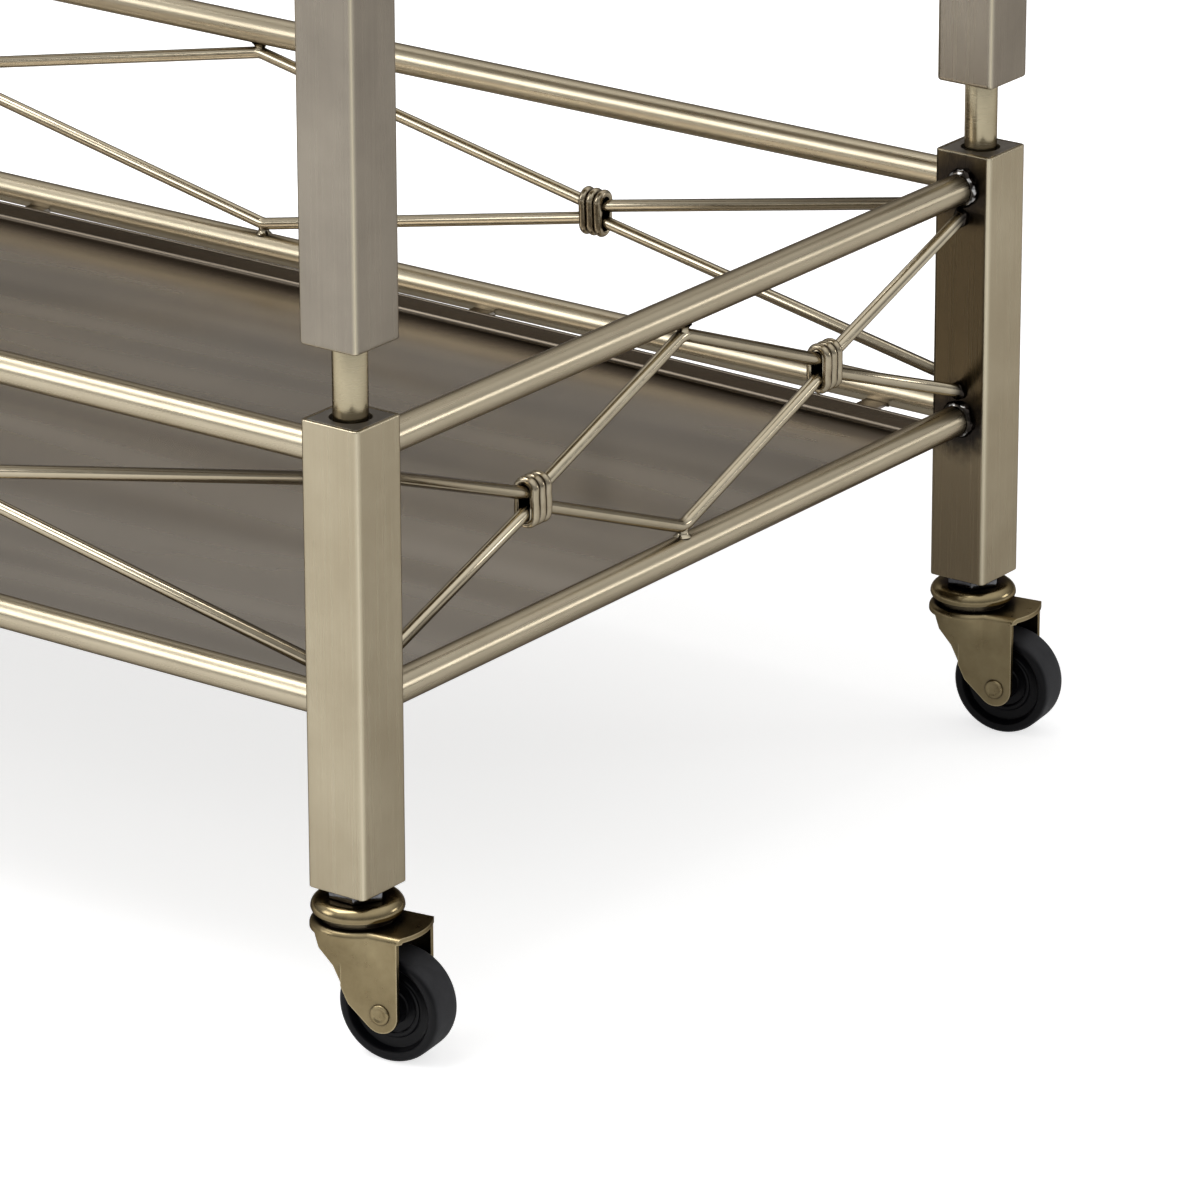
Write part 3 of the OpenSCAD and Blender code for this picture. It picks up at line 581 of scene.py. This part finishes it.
def panel_frame(tier, side):
    """Span and rise of a side's panel, the mapping of its plane into the cart, and the way it runs."""
    step_x, step_y = PANELS[side]
    bottom_low, bottom_high = box_mm(f"{tier}_bottom_rail_{side}")
    top_low, top_high = box_mm(f"{tier}_top_rail_{side}")
    rise = (top_low.z + top_high.z - bottom_low.z - bottom_high.z) / 2
    middle = (top_low.z + top_high.z + bottom_low.z + bottom_high.z) / 4
    if step_x:
        span = 2 * POST_Y - post_width
        return span, rise, (lambda u, out, up: Vector((step_x * (POST_X + out), u, middle + up))), "y"
    span = 2 * POST_X - post_width
    return span, rise, (lambda u, out, up: Vector((u, step_y * (POST_Y + out), middle + up))), "x"


def skins(parts, closed=False):
    """Points and faces over several rows of rings, as one mesh."""
    verts = []
    faces = []
    for rings in parts:
        more_verts, more_faces = skin(rings, closed, start=len(verts))
        verts += more_verts
        faces += more_faces
    return verts, faces


for tier in TIERS:
    for side in PANELS:
        span, rise, to_cart, along = panel_frame(tier, side)
        parts = []
        for flip in (1, -1):
            seed += 5
            parts += [bent_rod(span, rise, flip, to_cart, seed), middle_pin(rise, flip, to_cart, seed)]
        verts, faces = skins(parts)
        make_piece(f"{tier}_bent_rods_{side}", verts, faces, rod_finish[along], "frame",
                   [f"{tier}_lattice_{side}"], sharp=60)

# Collars
# Each knot is wrapped by a short cast band with three round ribs, closed tight on the rods by hand.
# The ribs are not quite even, and the grooves between them are darkened with painted shade.
RIB_RADIUS = 1.7
RIB_RISE = 1.0
RIB_PITCH = 3.7
GROOVE_RISE = 0.35
COLLAR_IN = 2.58
COLLAR_LENGTH = 2 * RIB_RADIUS + 2 * RIB_PITCH
COLLAR_STEPS = 18


def rib_outline():
    """Section of a collar: distance along the rods and depth over them, once round."""
    outline = [(-COLLAR_LENGTH / 2 + 0.2, GROOVE_RISE)]
    for rib in (-RIB_PITCH, 0.0, RIB_PITCH):
        for turn in range(196, -17, -15):
            angle = math.radians(turn)
            outline.append((rib + RIB_RADIUS * math.cos(angle), RIB_RISE + RIB_RADIUS * math.sin(angle)))
        outline.append((rib + (RIB_PITCH / 2 if rib < RIB_PITCH else RIB_RADIUS - 0.2), GROOVE_RISE))
    outline += [(COLLAR_LENGTH / 2 - 0.2, 0.0), (COLLAR_LENGTH / 6, 0.0), (-COLLAR_LENGTH / 6, 0.0),
                (-COLLAR_LENGTH / 2 + 0.2, 0.0)]
    return outline


def racetrack(straight):
    """Points and outward directions round the inside of a collar, in its across and up directions."""
    track = []
    for end in (1, -1):
        for step in range(COLLAR_STEPS + 1):
            angle = math.pi * step / COLLAR_STEPS + (0 if end > 0 else math.pi)
            out = Vector((math.cos(angle), math.sin(angle)))
            track.append((out * COLLAR_IN + Vector((0, end * straight / 2)), out))
        for part in (0.25, 0.5, 0.75):
            out = Vector((-end, 0))
            track.append((Vector((-end * COLLAR_IN, end * straight * (0.5 - part))), out))
    return track


def collar_rings(centre, straight, to_cart, seed):
    """Rings of one collar, each a section across its three ribs."""
    rings = []
    for place, out in racetrack(straight):
        ring = []
        for spot, depth in rib_outline():
            swell = noise.noise(Vector((place.x * 0.35, place.y * 0.35, seed + spot * 0.5)))
            drift = noise.noise(Vector((place.x * 0.25, place.y * 0.25, seed + 40)))
            reach = place + out * depth * (0.97 + 0.08 * swell if depth else 1.0)
            ring.append(to_cart(centre + spot + (0.4 * drift if depth else 0.0), reach.x, reach.y))
        rings.append(ring)
    return rings


# Painted shade darkens the grooves between the ribs
collar_brass = plated_metal("collar_brass", (500, 500, 500), BRASS_BRIGHT, (0.46, 0.39, 0.28, 1), streaks=0.8,
                            clouds=1.2, smooth=0.16, dull=0.28, cloud_scale=160, shade_in_recesses=(0.0025, 0.3, 0.8))
for tier in TIERS:
    parts = []
    # The rods of the short sides climb most steeply, and all collars are made to fit them
    span, rise = panel_frame(tier, "right")[:2]
    straight = 2 * KISS + COLLAR_LENGTH * (rise / 2 - BEND_OFF - KISS) / (span / 4)
    for side in PANELS:
        span, _, to_cart, _ = panel_frame(tier, side)
        for end in (-1, 1):
            seed += 11
            parts.append(collar_rings(end * span / 4, straight, to_cart, seed))
    verts, faces = skins(parts, closed=True)
    make_piece(f"{tier}_ribbed_collars", verts, faces, collar_brass, "frame",
               [f"{tier}_collars"], sharp=50)

# Trays
# A sheet of plated steel with its four edges folded up into a low hem, hung on the rails by short welded
# tabs. The long hems bow out slightly. The face is satin, rolled along the cart, with soft stains and waves.
TRAY_SHEET = 1.2
TRAY_GAP = 0.5
TAB_REACH = 0.2
TAB_WIDTH = 10.0
TAB_THICK = 1.6
TAB_INSET = 43.0
TAB_OFF_AXIS = 4.0
TAB_SWELL = 0.5
TAB_CORNER = 0.25
TRAY_BOW = 5.2
FOLD = 2.3
TRAY_COLUMNS = 96
TRAY_ROWS = 40


def bowed_half_depth(x, half_length, half_depth):
    """Half depth of the tray at x: its long edges are arcs that stand out by the bow at the middle."""
    radius = (half_length ** 2 + TRAY_BOW ** 2) / (2 * TRAY_BOW)
    return half_depth + TRAY_BOW - radius + math.sqrt(radius ** 2 - x ** 2)


def tray_solid(tier):
    """Points and faces of a tray with its hem and tabs, and the painted shade at each point."""
    low, high = box_mm(f"{tier}_tray")
    half_length = POST_X - post_width / 2 - TRAY_GAP
    half_depth = POST_Y - post_width / 2 - TRAY_GAP
    floor_top = low.z + TRAY_SHEET
    verts = []
    faces = []
    shade_amounts = []

    def spot(i, j, inset, z):
        u = 2 * i / TRAY_COLUMNS - 1
        v = 2 * j / TRAY_ROWS - 1
        x = u * (half_length - inset)
        y = v * (bowed_half_depth(u * half_length, half_length, half_depth) - inset)
        return (x, y, z)

    def wave(i, j):
        u, v = i / TRAY_COLUMNS, j / TRAY_ROWS
        edge = min(1.0, 8 * min(u, 1 - u), 8 * min(v, 1 - v))
        return -0.22 * edge * (1 + noise.noise(Vector((3.1 * u, 2.3 * v, 5.0))))

    for top in (True, False):
        start = len(verts)
        for i in range(TRAY_COLUMNS + 1):
            for j in range(TRAY_ROWS + 1):
                x, y, z = spot(i, j, TRAY_SHEET + FOLD, floor_top if top else low.z)
                verts.append((x, y, z + (wave(i, j) if top else 0.3 * wave(i, j) + 0.1 * min(i, j, 1))))
                edge = min(i, j, TRAY_COLUMNS - i, TRAY_ROWS - j)
                shade_amounts.append((0.9, 0.3)[edge] if edge < 2 else 0.0)
        for i in range(TRAY_COLUMNS):
            for j in range(TRAY_ROWS):
                a = start + i * (TRAY_ROWS + 1) + j
                b = a + TRAY_ROWS + 1
                faces.append((a, a + 1, b + 1, b) if top else (a, b, b + 1, a + 1))
    rim = [(i, 0) for i in range(TRAY_COLUMNS)] + [(TRAY_COLUMNS, j) for j in range(TRAY_ROWS)]
    rim += [(i, TRAY_ROWS) for i in range(TRAY_COLUMNS, 0, -1)] + [(0, j) for j in range(TRAY_ROWS, 0, -1)]
    column = TRAY_ROWS + 1
    loops = [[i * column + j for i, j in rim]]
    half = TRAY_SHEET / 2
    # Inner face of the fold and hem, its rounded edge, then the outer face and the fold's outside
    section = [(TRAY_SHEET + FOLD * (1 - math.sin(a)), floor_top + FOLD * (1 - math.cos(a)))
               for a in (math.radians(30), math.radians(60), math.radians(90))]
    section += [(TRAY_SHEET, high.z - half)]
    section += [(half + half * math.cos(a), high.z - half + half * math.sin(a))
                for a in (math.radians(45), math.radians(90), math.radians(135))]
    section += [(0.0, high.z - half)]
    outer = FOLD + TRAY_SHEET
    section += [(outer * (1 - math.sin(a)), low.z + outer * (1 - math.cos(a)))
                for a in (math.radians(90), math.radians(60), math.radians(30))]
    for inset, z in section:
        loops.append([len(verts) + k for k in range(len(rim))])
        verts += [spot(i, j, inset, z) for i, j in rim]
        shade_amounts += [1.0 if inset > 0.1 else 0.3] * len(rim)
    loops.append([(TRAY_COLUMNS + 1) * column + i * column + j for i, j in rim])
    for a, b in zip(loops, loops[1:]):
        faces += [(a[k], a[(k + 1) % len(rim)], b[(k + 1) % len(rim)], b[k]) for k in range(len(rim))]

    # Tabs, as flat bars with rounded corners that run from the hem to the rail
    def tab(centre, half_frame, half_tray, to_cart):
        rings = []
        middle = high.z - TAB_THICK / 2 - 0.05
        run = half_frame - math.sqrt(RAIL_RADIUS ** 2 - TAB_OFF_AXIS ** 2) + TAB_REACH
        for out in (half_tray - half, half_tray + 0.4, run - 0.9, run):
            swell = TAB_SWELL if out == run else 0.0
            ring = []
            for x, z in ((-1, -1), (-0.9, -1), (0.9, -1), (1, -1), (1, 1), (0.9, 1), (-0.9, 1), (-1, 1)):
                corner = TAB_CORNER if abs(x) == 1 else 0.0
                ring.append(to_cart(centre + x * (TAB_WIDTH / 2 + swell), out,
                                    middle + z * (TAB_THICK / 2 - corner + swell)))
            rings.append(ring)
        more_verts, more_faces = skin(rings, start=len(verts))
        verts.extend(more_verts)
        faces.extend(more_faces)
        shade_amounts.extend([0.5] * len(more_verts))

    edge_tab = POST_X - TAB_INSET
    for sign in (-1, 1):
        for x in (-edge_tab, -POST_X / 3, POST_X / 3, edge_tab):
            tab(x, POST_Y, bowed_half_depth(abs(x) + TAB_WIDTH / 2, half_length, half_depth),
                lambda u, out, z: (u, sign * out, z))
        for y in (-(POST_Y - TAB_INSET), POST_Y - TAB_INSET):
            tab(y, POST_X, half_length, lambda u, out, z: (sign * out, u, z))
    return verts, faces, shade_amounts


tray_sheet = plated_metal("tray_sheet", (3.0, 45, 45), (1.0, 0.975, 0.92, 1), (0.68, 0.655, 0.615, 1),
                          streaks=1.15, streak_detail=0.6, clouds=1.5, cloud_scale=4.0, smooth=0.20,
                          dull=0.32, bump=0.0, rim=(0.9, 0.885, 0.87, 1))
FOLD_SHADE = (0.13, 0.105, 0.075, 1)
UNDERSIDE_SHADE = (0.20, 0.165, 0.11, 1)
# The fold, hem and tabs are darkened with painted shade, and so are the faces that look down
tree = tray_sheet.node_tree
in_fold = add(tree, "Attribute", attribute_name="painted_fold_shade").outputs["Fac"]
lay_over(tree, maths(tree, "MULTIPLY", in_fold, 0.9), FOLD_SHADE)
facing = add(tree, "SeparateXYZ", {0: add(tree, "NewGeometry").outputs["Normal"]}).outputs
lay_over(tree, remap(tree, facing[2], -0.3, -0.8), UNDERSIDE_SHADE)
for tier in TIERS:
    verts, faces, shade_amounts = tray_solid(tier)
    tray = make_piece(f"{tier}_folded_tray", verts, faces, tray_sheet, "frame",
                      [f"{tier}_tray"], sharp=50)
    tray.data.attributes.new("painted_fold_shade", "FLOAT", "POINT").data.foreach_set("value", shade_amounts)

# Spacer sleeves and studs
# Short turned sleeves stand in the sunk plugs between stacked posts, each on a zinc-plated stud.
# Their ends are chamfered and their sides keep the fine rings of the lathe under the plating.
SLEEVE_BORE = 4.05
SLEEVE_RADIUS = 6.25
SLEEVE_SIDES = 64
SLEEVE_CHAMFER = 0.6
PLUG_RECESS = 2.5


def turned_rings(profile, sides):
    """Rings of a turned piece from its outline of radius and height."""
    return [[(radius * math.cos(2 * math.pi * k / sides), radius * math.sin(2 * math.pi * k / sides), height)
             for k in range(sides)] for radius, height in profile]


def at_corners(rings):
    """The rings of one piece, moved to each post's axis."""
    return [[[(x + side_x * POST_X, y + side_y * POST_Y, z) for x, y, z in ring] for ring in rings]
            for side_x, side_y in CORNERS.values()]


sleeve_brass = plated_metal("sleeve_brass", (60, 60, 1600), (0.84, 0.765, 0.55, 1), (0.64, 0.57, 0.40, 1),
                            streaks=0.4, clouds=1.2, cloud_scale=70, smooth=0.2, dull=0.3, bump=0.02)
parts = []
for foot, head in (("lower", "middle"), ("middle", "upper")):
    bottom = box_mm(f"{foot}_post_front_left")[1].z - PLUG_RECESS
    top = box_mm(f"{head}_post_front_left")[0].z + PLUG_RECESS
    profile = [(SLEEVE_BORE, bottom), (SLEEVE_RADIUS - SLEEVE_CHAMFER, bottom),
               (SLEEVE_RADIUS - 0.1, bottom + SLEEVE_CHAMFER - 0.1),
               (SLEEVE_RADIUS, bottom + SLEEVE_CHAMFER + 0.2), (SLEEVE_RADIUS, top - SLEEVE_CHAMFER - 0.2),
               (SLEEVE_RADIUS - 0.1, top - SLEEVE_CHAMFER + 0.1),
               (SLEEVE_RADIUS - SLEEVE_CHAMFER, top), (SLEEVE_BORE, top)]
    parts += at_corners(turned_rings(profile, SLEEVE_SIDES))
verts, faces = skins(parts, closed=True)
make_piece("turned_sleeves", verts, faces, sleeve_brass, "frame", ["spacer_sleeves"])
# The zinc is painted near black as shade, with painted shade in its recesses and its edges rubbed bright
zinc_steel = plated_metal("zinc_steel", (300, 300, 300), (0.50, 0.52, 0.56, 1), (0.07, 0.07, 0.08, 1),
                          streaks=1.2, clouds=1.6, cloud_scale=260, smooth=0.08, dull=0.18, bump=0.03,
                          wear=1.0, worn_and_highlight=(0.75, 0.77, 0.82, 1), shade_in_recesses=(0.006, 0.3, 0.9), lacquer=None)
softened("joining_studs", zinc_steel, "frame", 0.4)

# Swivel bearings
# A zinc-plated stem runs up through the fork's crown and is screwed into the post's foot plug, with a hexagon
# nut below it. A pressed cup sits on a ring of steel balls that run on the crown's race.
softened("caster_stems", zinc_steel, "frame", 0.4)
softened("stem_nuts", zinc_steel, "frame", 0.5)
CASTER_BRIGHT = (0.60, 0.51, 0.31, 1)
CASTER_DEEP = (0.33, 0.265, 0.145, 1)
CASTER_RUBBED = (1.0, 0.88, 0.58, 1)
# The cup is darkened with painted shade where it sees little of the room
cup_brass = plated_metal("cup_brass", (300, 300, 300), CASTER_BRIGHT, CASTER_DEEP, streaks=0.4, clouds=1.2,
                         cloud_scale=90, smooth=0.16, dull=0.26, wear=2.0, wear_radius=0.0007,
                         worn_and_highlight=CASTER_RUBBED, shade_in_recesses=(0.006, 0.35, 0.85))
cup_low, cup_high = box_mm("bearing_cups")
CUP_RADIUS = cup_high.x - POST_X
CUP_HOLE = 5.05
CUP_WALL = 1.5
CUP_SHOULDER = 4.0
CUP_SIDES = 96
inner_shoulder = CUP_SHOULDER - CUP_WALL
cup_outline = [(CUP_HOLE, cup_high.z - CUP_WALL), (CUP_HOLE, cup_high.z)]
cup_outline += [(CUP_RADIUS - CUP_SHOULDER * (1 - math.sin(a)), cup_high.z - CUP_SHOULDER * (1 - math.cos(a)))
                for a in map(math.radians, range(0, 91, 9))]
cup_outline += [(CUP_RADIUS - 0.35, cup_low.z), (CUP_RADIUS - CUP_WALL + 0.2, cup_low.z)]
cup_outline += [(CUP_RADIUS - CUP_SHOULDER + inner_shoulder * math.sin(a),
                 cup_high.z - CUP_SHOULDER + inner_shoulder * math.cos(a))
                for a in map(math.radians, range(90, -1, -15))]
verts, faces = skins(at_corners(turned_rings(cup_outline, CUP_SIDES)), closed=True)
make_piece("pressed_cups", verts, faces, cup_brass, "frame", ["bearing_cups"], sharp=45)
ball_steel = plated_metal("ball_steel", (200, 200, 200), (0.5, 0.5, 0.52, 1), (0.3, 0.3, 0.32, 1),
                          smooth=0.08, dull=0.16, bump=0.0, lacquer=None)
softened("bearing_balls", ball_steel, "frame", 0.0)

# Caster forks
# Each fork is pressed from one strip of steel: a round crown with a short skirt, and two side plates that run
# down to the axle. It is barrel plated in a darker brass that has rubbed bright along every edge.
# The fork is darkened with painted shade in its recesses
fork_brass = plated_metal("fork_brass", (260, 260, 260), CASTER_BRIGHT, CASTER_DEEP, streaks=0.5, clouds=1.2,
                          cloud_scale=70, smooth=0.26, dull=0.38, bump=0.04, wear=4.0, wear_radius=0.0011,
                          worn_and_highlight=CASTER_RUBBED, shade_in_recesses=(0.012, 0.45, 0.9))
rivet_brass = plated_metal("rivet_brass", (260, 260, 260), CASTER_BRIGHT, CASTER_DEEP, streaks=0.6,
                           clouds=1.2, cloud_scale=120, smooth=0.24, dull=0.34, bump=0.04, wear=1.4,
                           wear_radius=0.0005, worn_and_highlight=CASTER_RUBBED)
FORK_HALF = 13.1
RIVET_RADIUS = 3.8
RIVET_RISE = 0.9
AXLE_RADIUS = 2.5
AXLE_SIDES = 48
rivet_head = [(0.01, FORK_HALF + 0.5), (1.7, FORK_HALF + 0.5), (2.2, FORK_HALF + 0.62),
              (2.6, FORK_HALF + RIVET_RISE - 0.04), (3.1, FORK_HALF + RIVET_RISE),
              (3.55, FORK_HALF + RIVET_RISE - 0.15), (RIVET_RADIUS, FORK_HALF + 0.4),
              (RIVET_RADIUS, FORK_HALF), (AXLE_RADIUS, FORK_HALF)]
axle_outline = rivet_head + [(radius, -height) for radius, height in reversed(rivet_head)]
upright_to_axle = Matrix.Rotation(math.radians(90), 3, "X")
axle_turns = {}
axle_places = {}


def laid_on_axle(corner_name, rings):
    """Turned rings laid along a caster's axle, about the axle's middle."""
    return [[axle_turns[corner_name] @ Vector(point) for point in ring] for ring in rings]


for corner_name in CORNERS:
    softened(f"fork_{corner_name}", fork_brass, f"swivel_{corner_name}", 0.35, sharp=48)
    joint = next(j for j in frame["joints"] if j["name"] == f"roll_{corner_name}")
    turn = math.atan2(-joint["axis"][0], joint["axis"][1])
    axle_turns[corner_name] = Matrix.Rotation(turn, 3, "Z") @ upright_to_axle
    axle_places[corner_name] = Matrix.Translation(Vector(joint["pos_m"]))
    verts, faces = skin(laid_on_axle(corner_name, turned_rings(axle_outline, AXLE_SIDES)))
    make_piece(f"riveted_axle_{corner_name}", verts, faces, rivet_brass,
               f"swivel_{corner_name}", [f"axle_{corner_name}"], place=axle_places[corner_name])

# Wheels
# Moulded black wheels, 40 mm across: a flat tread with rounded shoulders, a sunk web with a raised ring, and
# a hub. The sides keep the gloss of the mould and the tread is scuffed grey by the floor.
WHEEL_RADIUS = 20.0
WHEEL_HALF = 7.9
HUB_HALF = 11.0
WHEEL_SIDES = 128
half_outline = [(2.55, HUB_HALF), (5.6, HUB_HALF), (6.0, HUB_HALF - 0.4), (6.1, 4.7), (6.5, 4.2), (9.2, 4.2),
                (9.6, 4.5), (9.75, 5.1), (10.1, 5.3), (10.9, 5.3), (11.25, 5.1), (11.4, 4.5), (11.8, 4.2),
                (14.6, 4.2), (15.2, 4.5), (15.9, 6.6), (16.2, 7.4), (16.6, 7.8), (17.1, WHEEL_HALF),
                (18.2, WHEEL_HALF), (18.8, 7.72), (19.35, 7.3), (19.75, 6.7), (19.95, 6.0),
                (WHEEL_RADIUS, 4.0), (WHEEL_RADIUS, 0.5)]
wheel_outline = half_outline + [(radius, -height) for radius, height in reversed(half_outline)]
MOULDED_BLACK = (0.002, 0.002, 0.003, 1)
MOULDED_GREY = (0.007, 0.007, 0.009, 1)
SCUFFED_GREY = (0.046, 0.046, 0.050, 1)
wheel_black = bpy.data.materials.new("wheel_black")
wheel_black.use_nodes = True
tree = wheel_black.node_tree
shader = tree.nodes["Principled BSDF"]
where = add(tree, "TexCoord").outputs["Object"]
ring_radius = add(tree, "Attribute", attribute_name="ring_radius").outputs["Fac"]
speckle = add(tree, "TexNoise", {"Vector": where, "Scale": 900.0, "Detail": 5.0, "Roughness": 0.7}).outputs[0]
scuffs = add(tree, "TexNoise", {"Vector": where, "Scale": 140.0, "Detail": 4.0}).outputs[0]
on_tread = remap(tree, ring_radius, 19.3, 19.95)
scuffed = maths(tree, "MULTIPLY", on_tread, maths(tree, "MULTIPLY", scuffs, 1.3), clamp=True)
moulded = blend_colour(tree, maths(tree, "MULTIPLY", speckle, 0.6), MOULDED_BLACK, MOULDED_GREY)
tree.links.new(blend_colour(tree, scuffed, moulded, SCUFFED_GREY), shader.inputs["Base Color"])
tree.links.new(remap(tree, scuffed, 0.0, 1.0, 0.34, 0.7), shader.inputs["Roughness"])
shader.inputs["Specular IOR Level"].default_value = 0.22
grain = add(tree, "Bump", {"Height": speckle, "Strength": 0.12, "Distance": 0.0002})
tree.links.new(grain.outputs[0], shader.inputs["Normal"])
for corner_name in CORNERS:
    verts, faces = skin(laid_on_axle(corner_name, turned_rings(wheel_outline, WHEEL_SIDES)), closed=True)
    wheel = make_piece(f"moulded_wheel_{corner_name}", verts, faces, wheel_black,
                       f"roller_{corner_name}", [f"wheel_{corner_name}"], sharp=30,
                       place=axle_places[corner_name])
    radii = wheel.data.attributes.new("ring_radius", "FLOAT", "POINT")
    radii.data.foreach_set("value", [radius for radius, _ in wheel_outline for _ in range(WHEEL_SIDES)])

# Studio
# A wide soft lamp hangs overhead, a weaker one stands front left and a small one back right, in a room whose
# walls are dim to the metal and white to the camera. The pale floor runs out into that white and keeps the
# cart's soft shadow.
FLOOR_REACH = 30.0
FLOOR_GLOW = 0.7
FLOOR_MIRRORED = 0.14
floor_mesh = bpy.data.meshes.new("floor")
floor_corners = [(x * FLOOR_REACH, y * FLOOR_REACH, 0) for x, y in ((-1, -1), (1, -1), (1, 1), (-1, 1))]
floor_mesh.from_pydata(floor_corners, [], [(0, 1, 2, 3)])
floor = bpy.data.objects.new("floor", floor_mesh)
bpy.context.scene.collection.objects.link(floor)
floor_paper = bpy.data.materials.new("floor_paper")
floor_paper.use_nodes = True
tree = floor_paper.node_tree
shader = tree.nodes["Principled BSDF"]
where = add(tree, "TexCoord").outputs["Object"]
fibre = add(tree, "TexNoise", {"Vector": where, "Scale": 60.0, "Detail": 3.0}).outputs[0]
paper = blend_colour(tree, fibre, (0.80, 0.80, 0.80, 1), (0.82, 0.82, 0.82, 1))
tree.links.new(paper, shader.inputs["Base Color"])
shader.inputs["Roughness"].default_value = 0.9
shader.inputs["Specular IOR Level"].default_value = 0.1
shader.inputs["Emission Color"].default_value = (1, 1, 1, 1)
rays = add(tree, "LightPath").outputs
mirrored = maths(tree, "MAXIMUM", rays["Is Glossy Ray"], rays["Is Transmission Ray"])
seen_glow = maths(tree, "MULTIPLY", rays["Is Camera Ray"], FLOOR_GLOW)
mirrored_glow = maths(tree, "MULTIPLY", mirrored, FLOOR_MIRRORED)
tree.links.new(maths(tree, "ADD", seen_glow, mirrored_glow), shader.inputs["Emission Strength"])
floor_mesh.materials.append(floor_paper)

WALL_LEVEL = 0.28
CEILING_LEVEL = 1.0
FILL_LEVEL = 0.45
world = bpy.data.worlds.new("surround")
bpy.context.scene.world = world
world.use_nodes = True
tree = world.node_tree
back = tree.nodes["Background"]
rays = add(tree, "LightPath").outputs
mirrored = maths(tree, "MAXIMUM", rays["Is Glossy Ray"], rays["Is Transmission Ray"])
height = add(tree, "SeparateXYZ", {0: add(tree, "TexCoord").outputs["Generated"]}).outputs[2]
# The polished metal mirrors dim walls and a bright ceiling
dome = remap(tree, height, 0.2, 0.9, WALL_LEVEL, CEILING_LEVEL, smooth=True)
level = remap(tree, mirrored, 0.0, 1.0, FILL_LEVEL, dome)
tree.links.new(maths(tree, "MAXIMUM", rays["Is Camera Ray"], level), back.inputs["Strength"])
back.inputs["Color"].default_value = (1, 1, 1, 1)


def soft_lamp(name, place, target, size, power):
    """A wide area lamp aimed at a point of the cart."""
    data = bpy.data.lights.new(name, "AREA")
    data.shape = "RECTANGLE"
    data.size, data.size_y = size
    data.energy = power
    made = bpy.data.objects.new(name, data)
    bpy.context.scene.collection.objects.link(made)
    made.location = place
    made.rotation_euler = (Vector(target) - Vector(place)).to_track_quat("-Z", "Y").to_euler()


soft_lamp("overhead", (-0.5, -0.5, 2.5), (-0.1, -0.1, 0), (1.6, 1.6), 44)
soft_lamp("front_left", (-1.9, -2.4, 1.5), (0, 0, 0.3), (1.3, 1.3), 18)
soft_lamp("back_right", (2.3, 2.0, 0.8), (0.2, 0, 0.3), (0.8, 0.5), 5)

# Camera
# The lens, place and tilt that fit the photograph, found from the posts, rails, rods and casters seen in it.
AZIMUTH = math.radians(36.38)
PITCH = math.radians(20.55)
ROLL = math.radians(-0.13)
CAMERA_PLACE = (1.8335, -2.0618, 1.0605)
camera_data = bpy.data.cameras.new("photo_camera")
camera_data.sensor_width = 36.0
camera_data.lens = 221.73
camera = bpy.data.objects.new("photo_camera", camera_data)
bpy.context.scene.collection.objects.link(camera)
ahead = Vector((-math.sin(AZIMUTH) * math.cos(PITCH), math.cos(AZIMUTH) * math.cos(PITCH), -math.sin(PITCH)))
right = Vector((math.cos(AZIMUTH), math.sin(AZIMUTH), 0))
up = right.cross(ahead)
rolled_right = right * math.cos(ROLL) + up * math.sin(ROLL)
rolled_up = up * math.cos(ROLL) - right * math.sin(ROLL)
aim = Matrix((rolled_right, rolled_up, -ahead)).transposed().to_4x4()
camera.matrix_world = Matrix.Translation(CAMERA_PLACE) @ aim
bpy.context.scene.camera = camera
bpy.context.scene.view_settings.view_transform = "Standard"

bpy.context.view_layer.update()
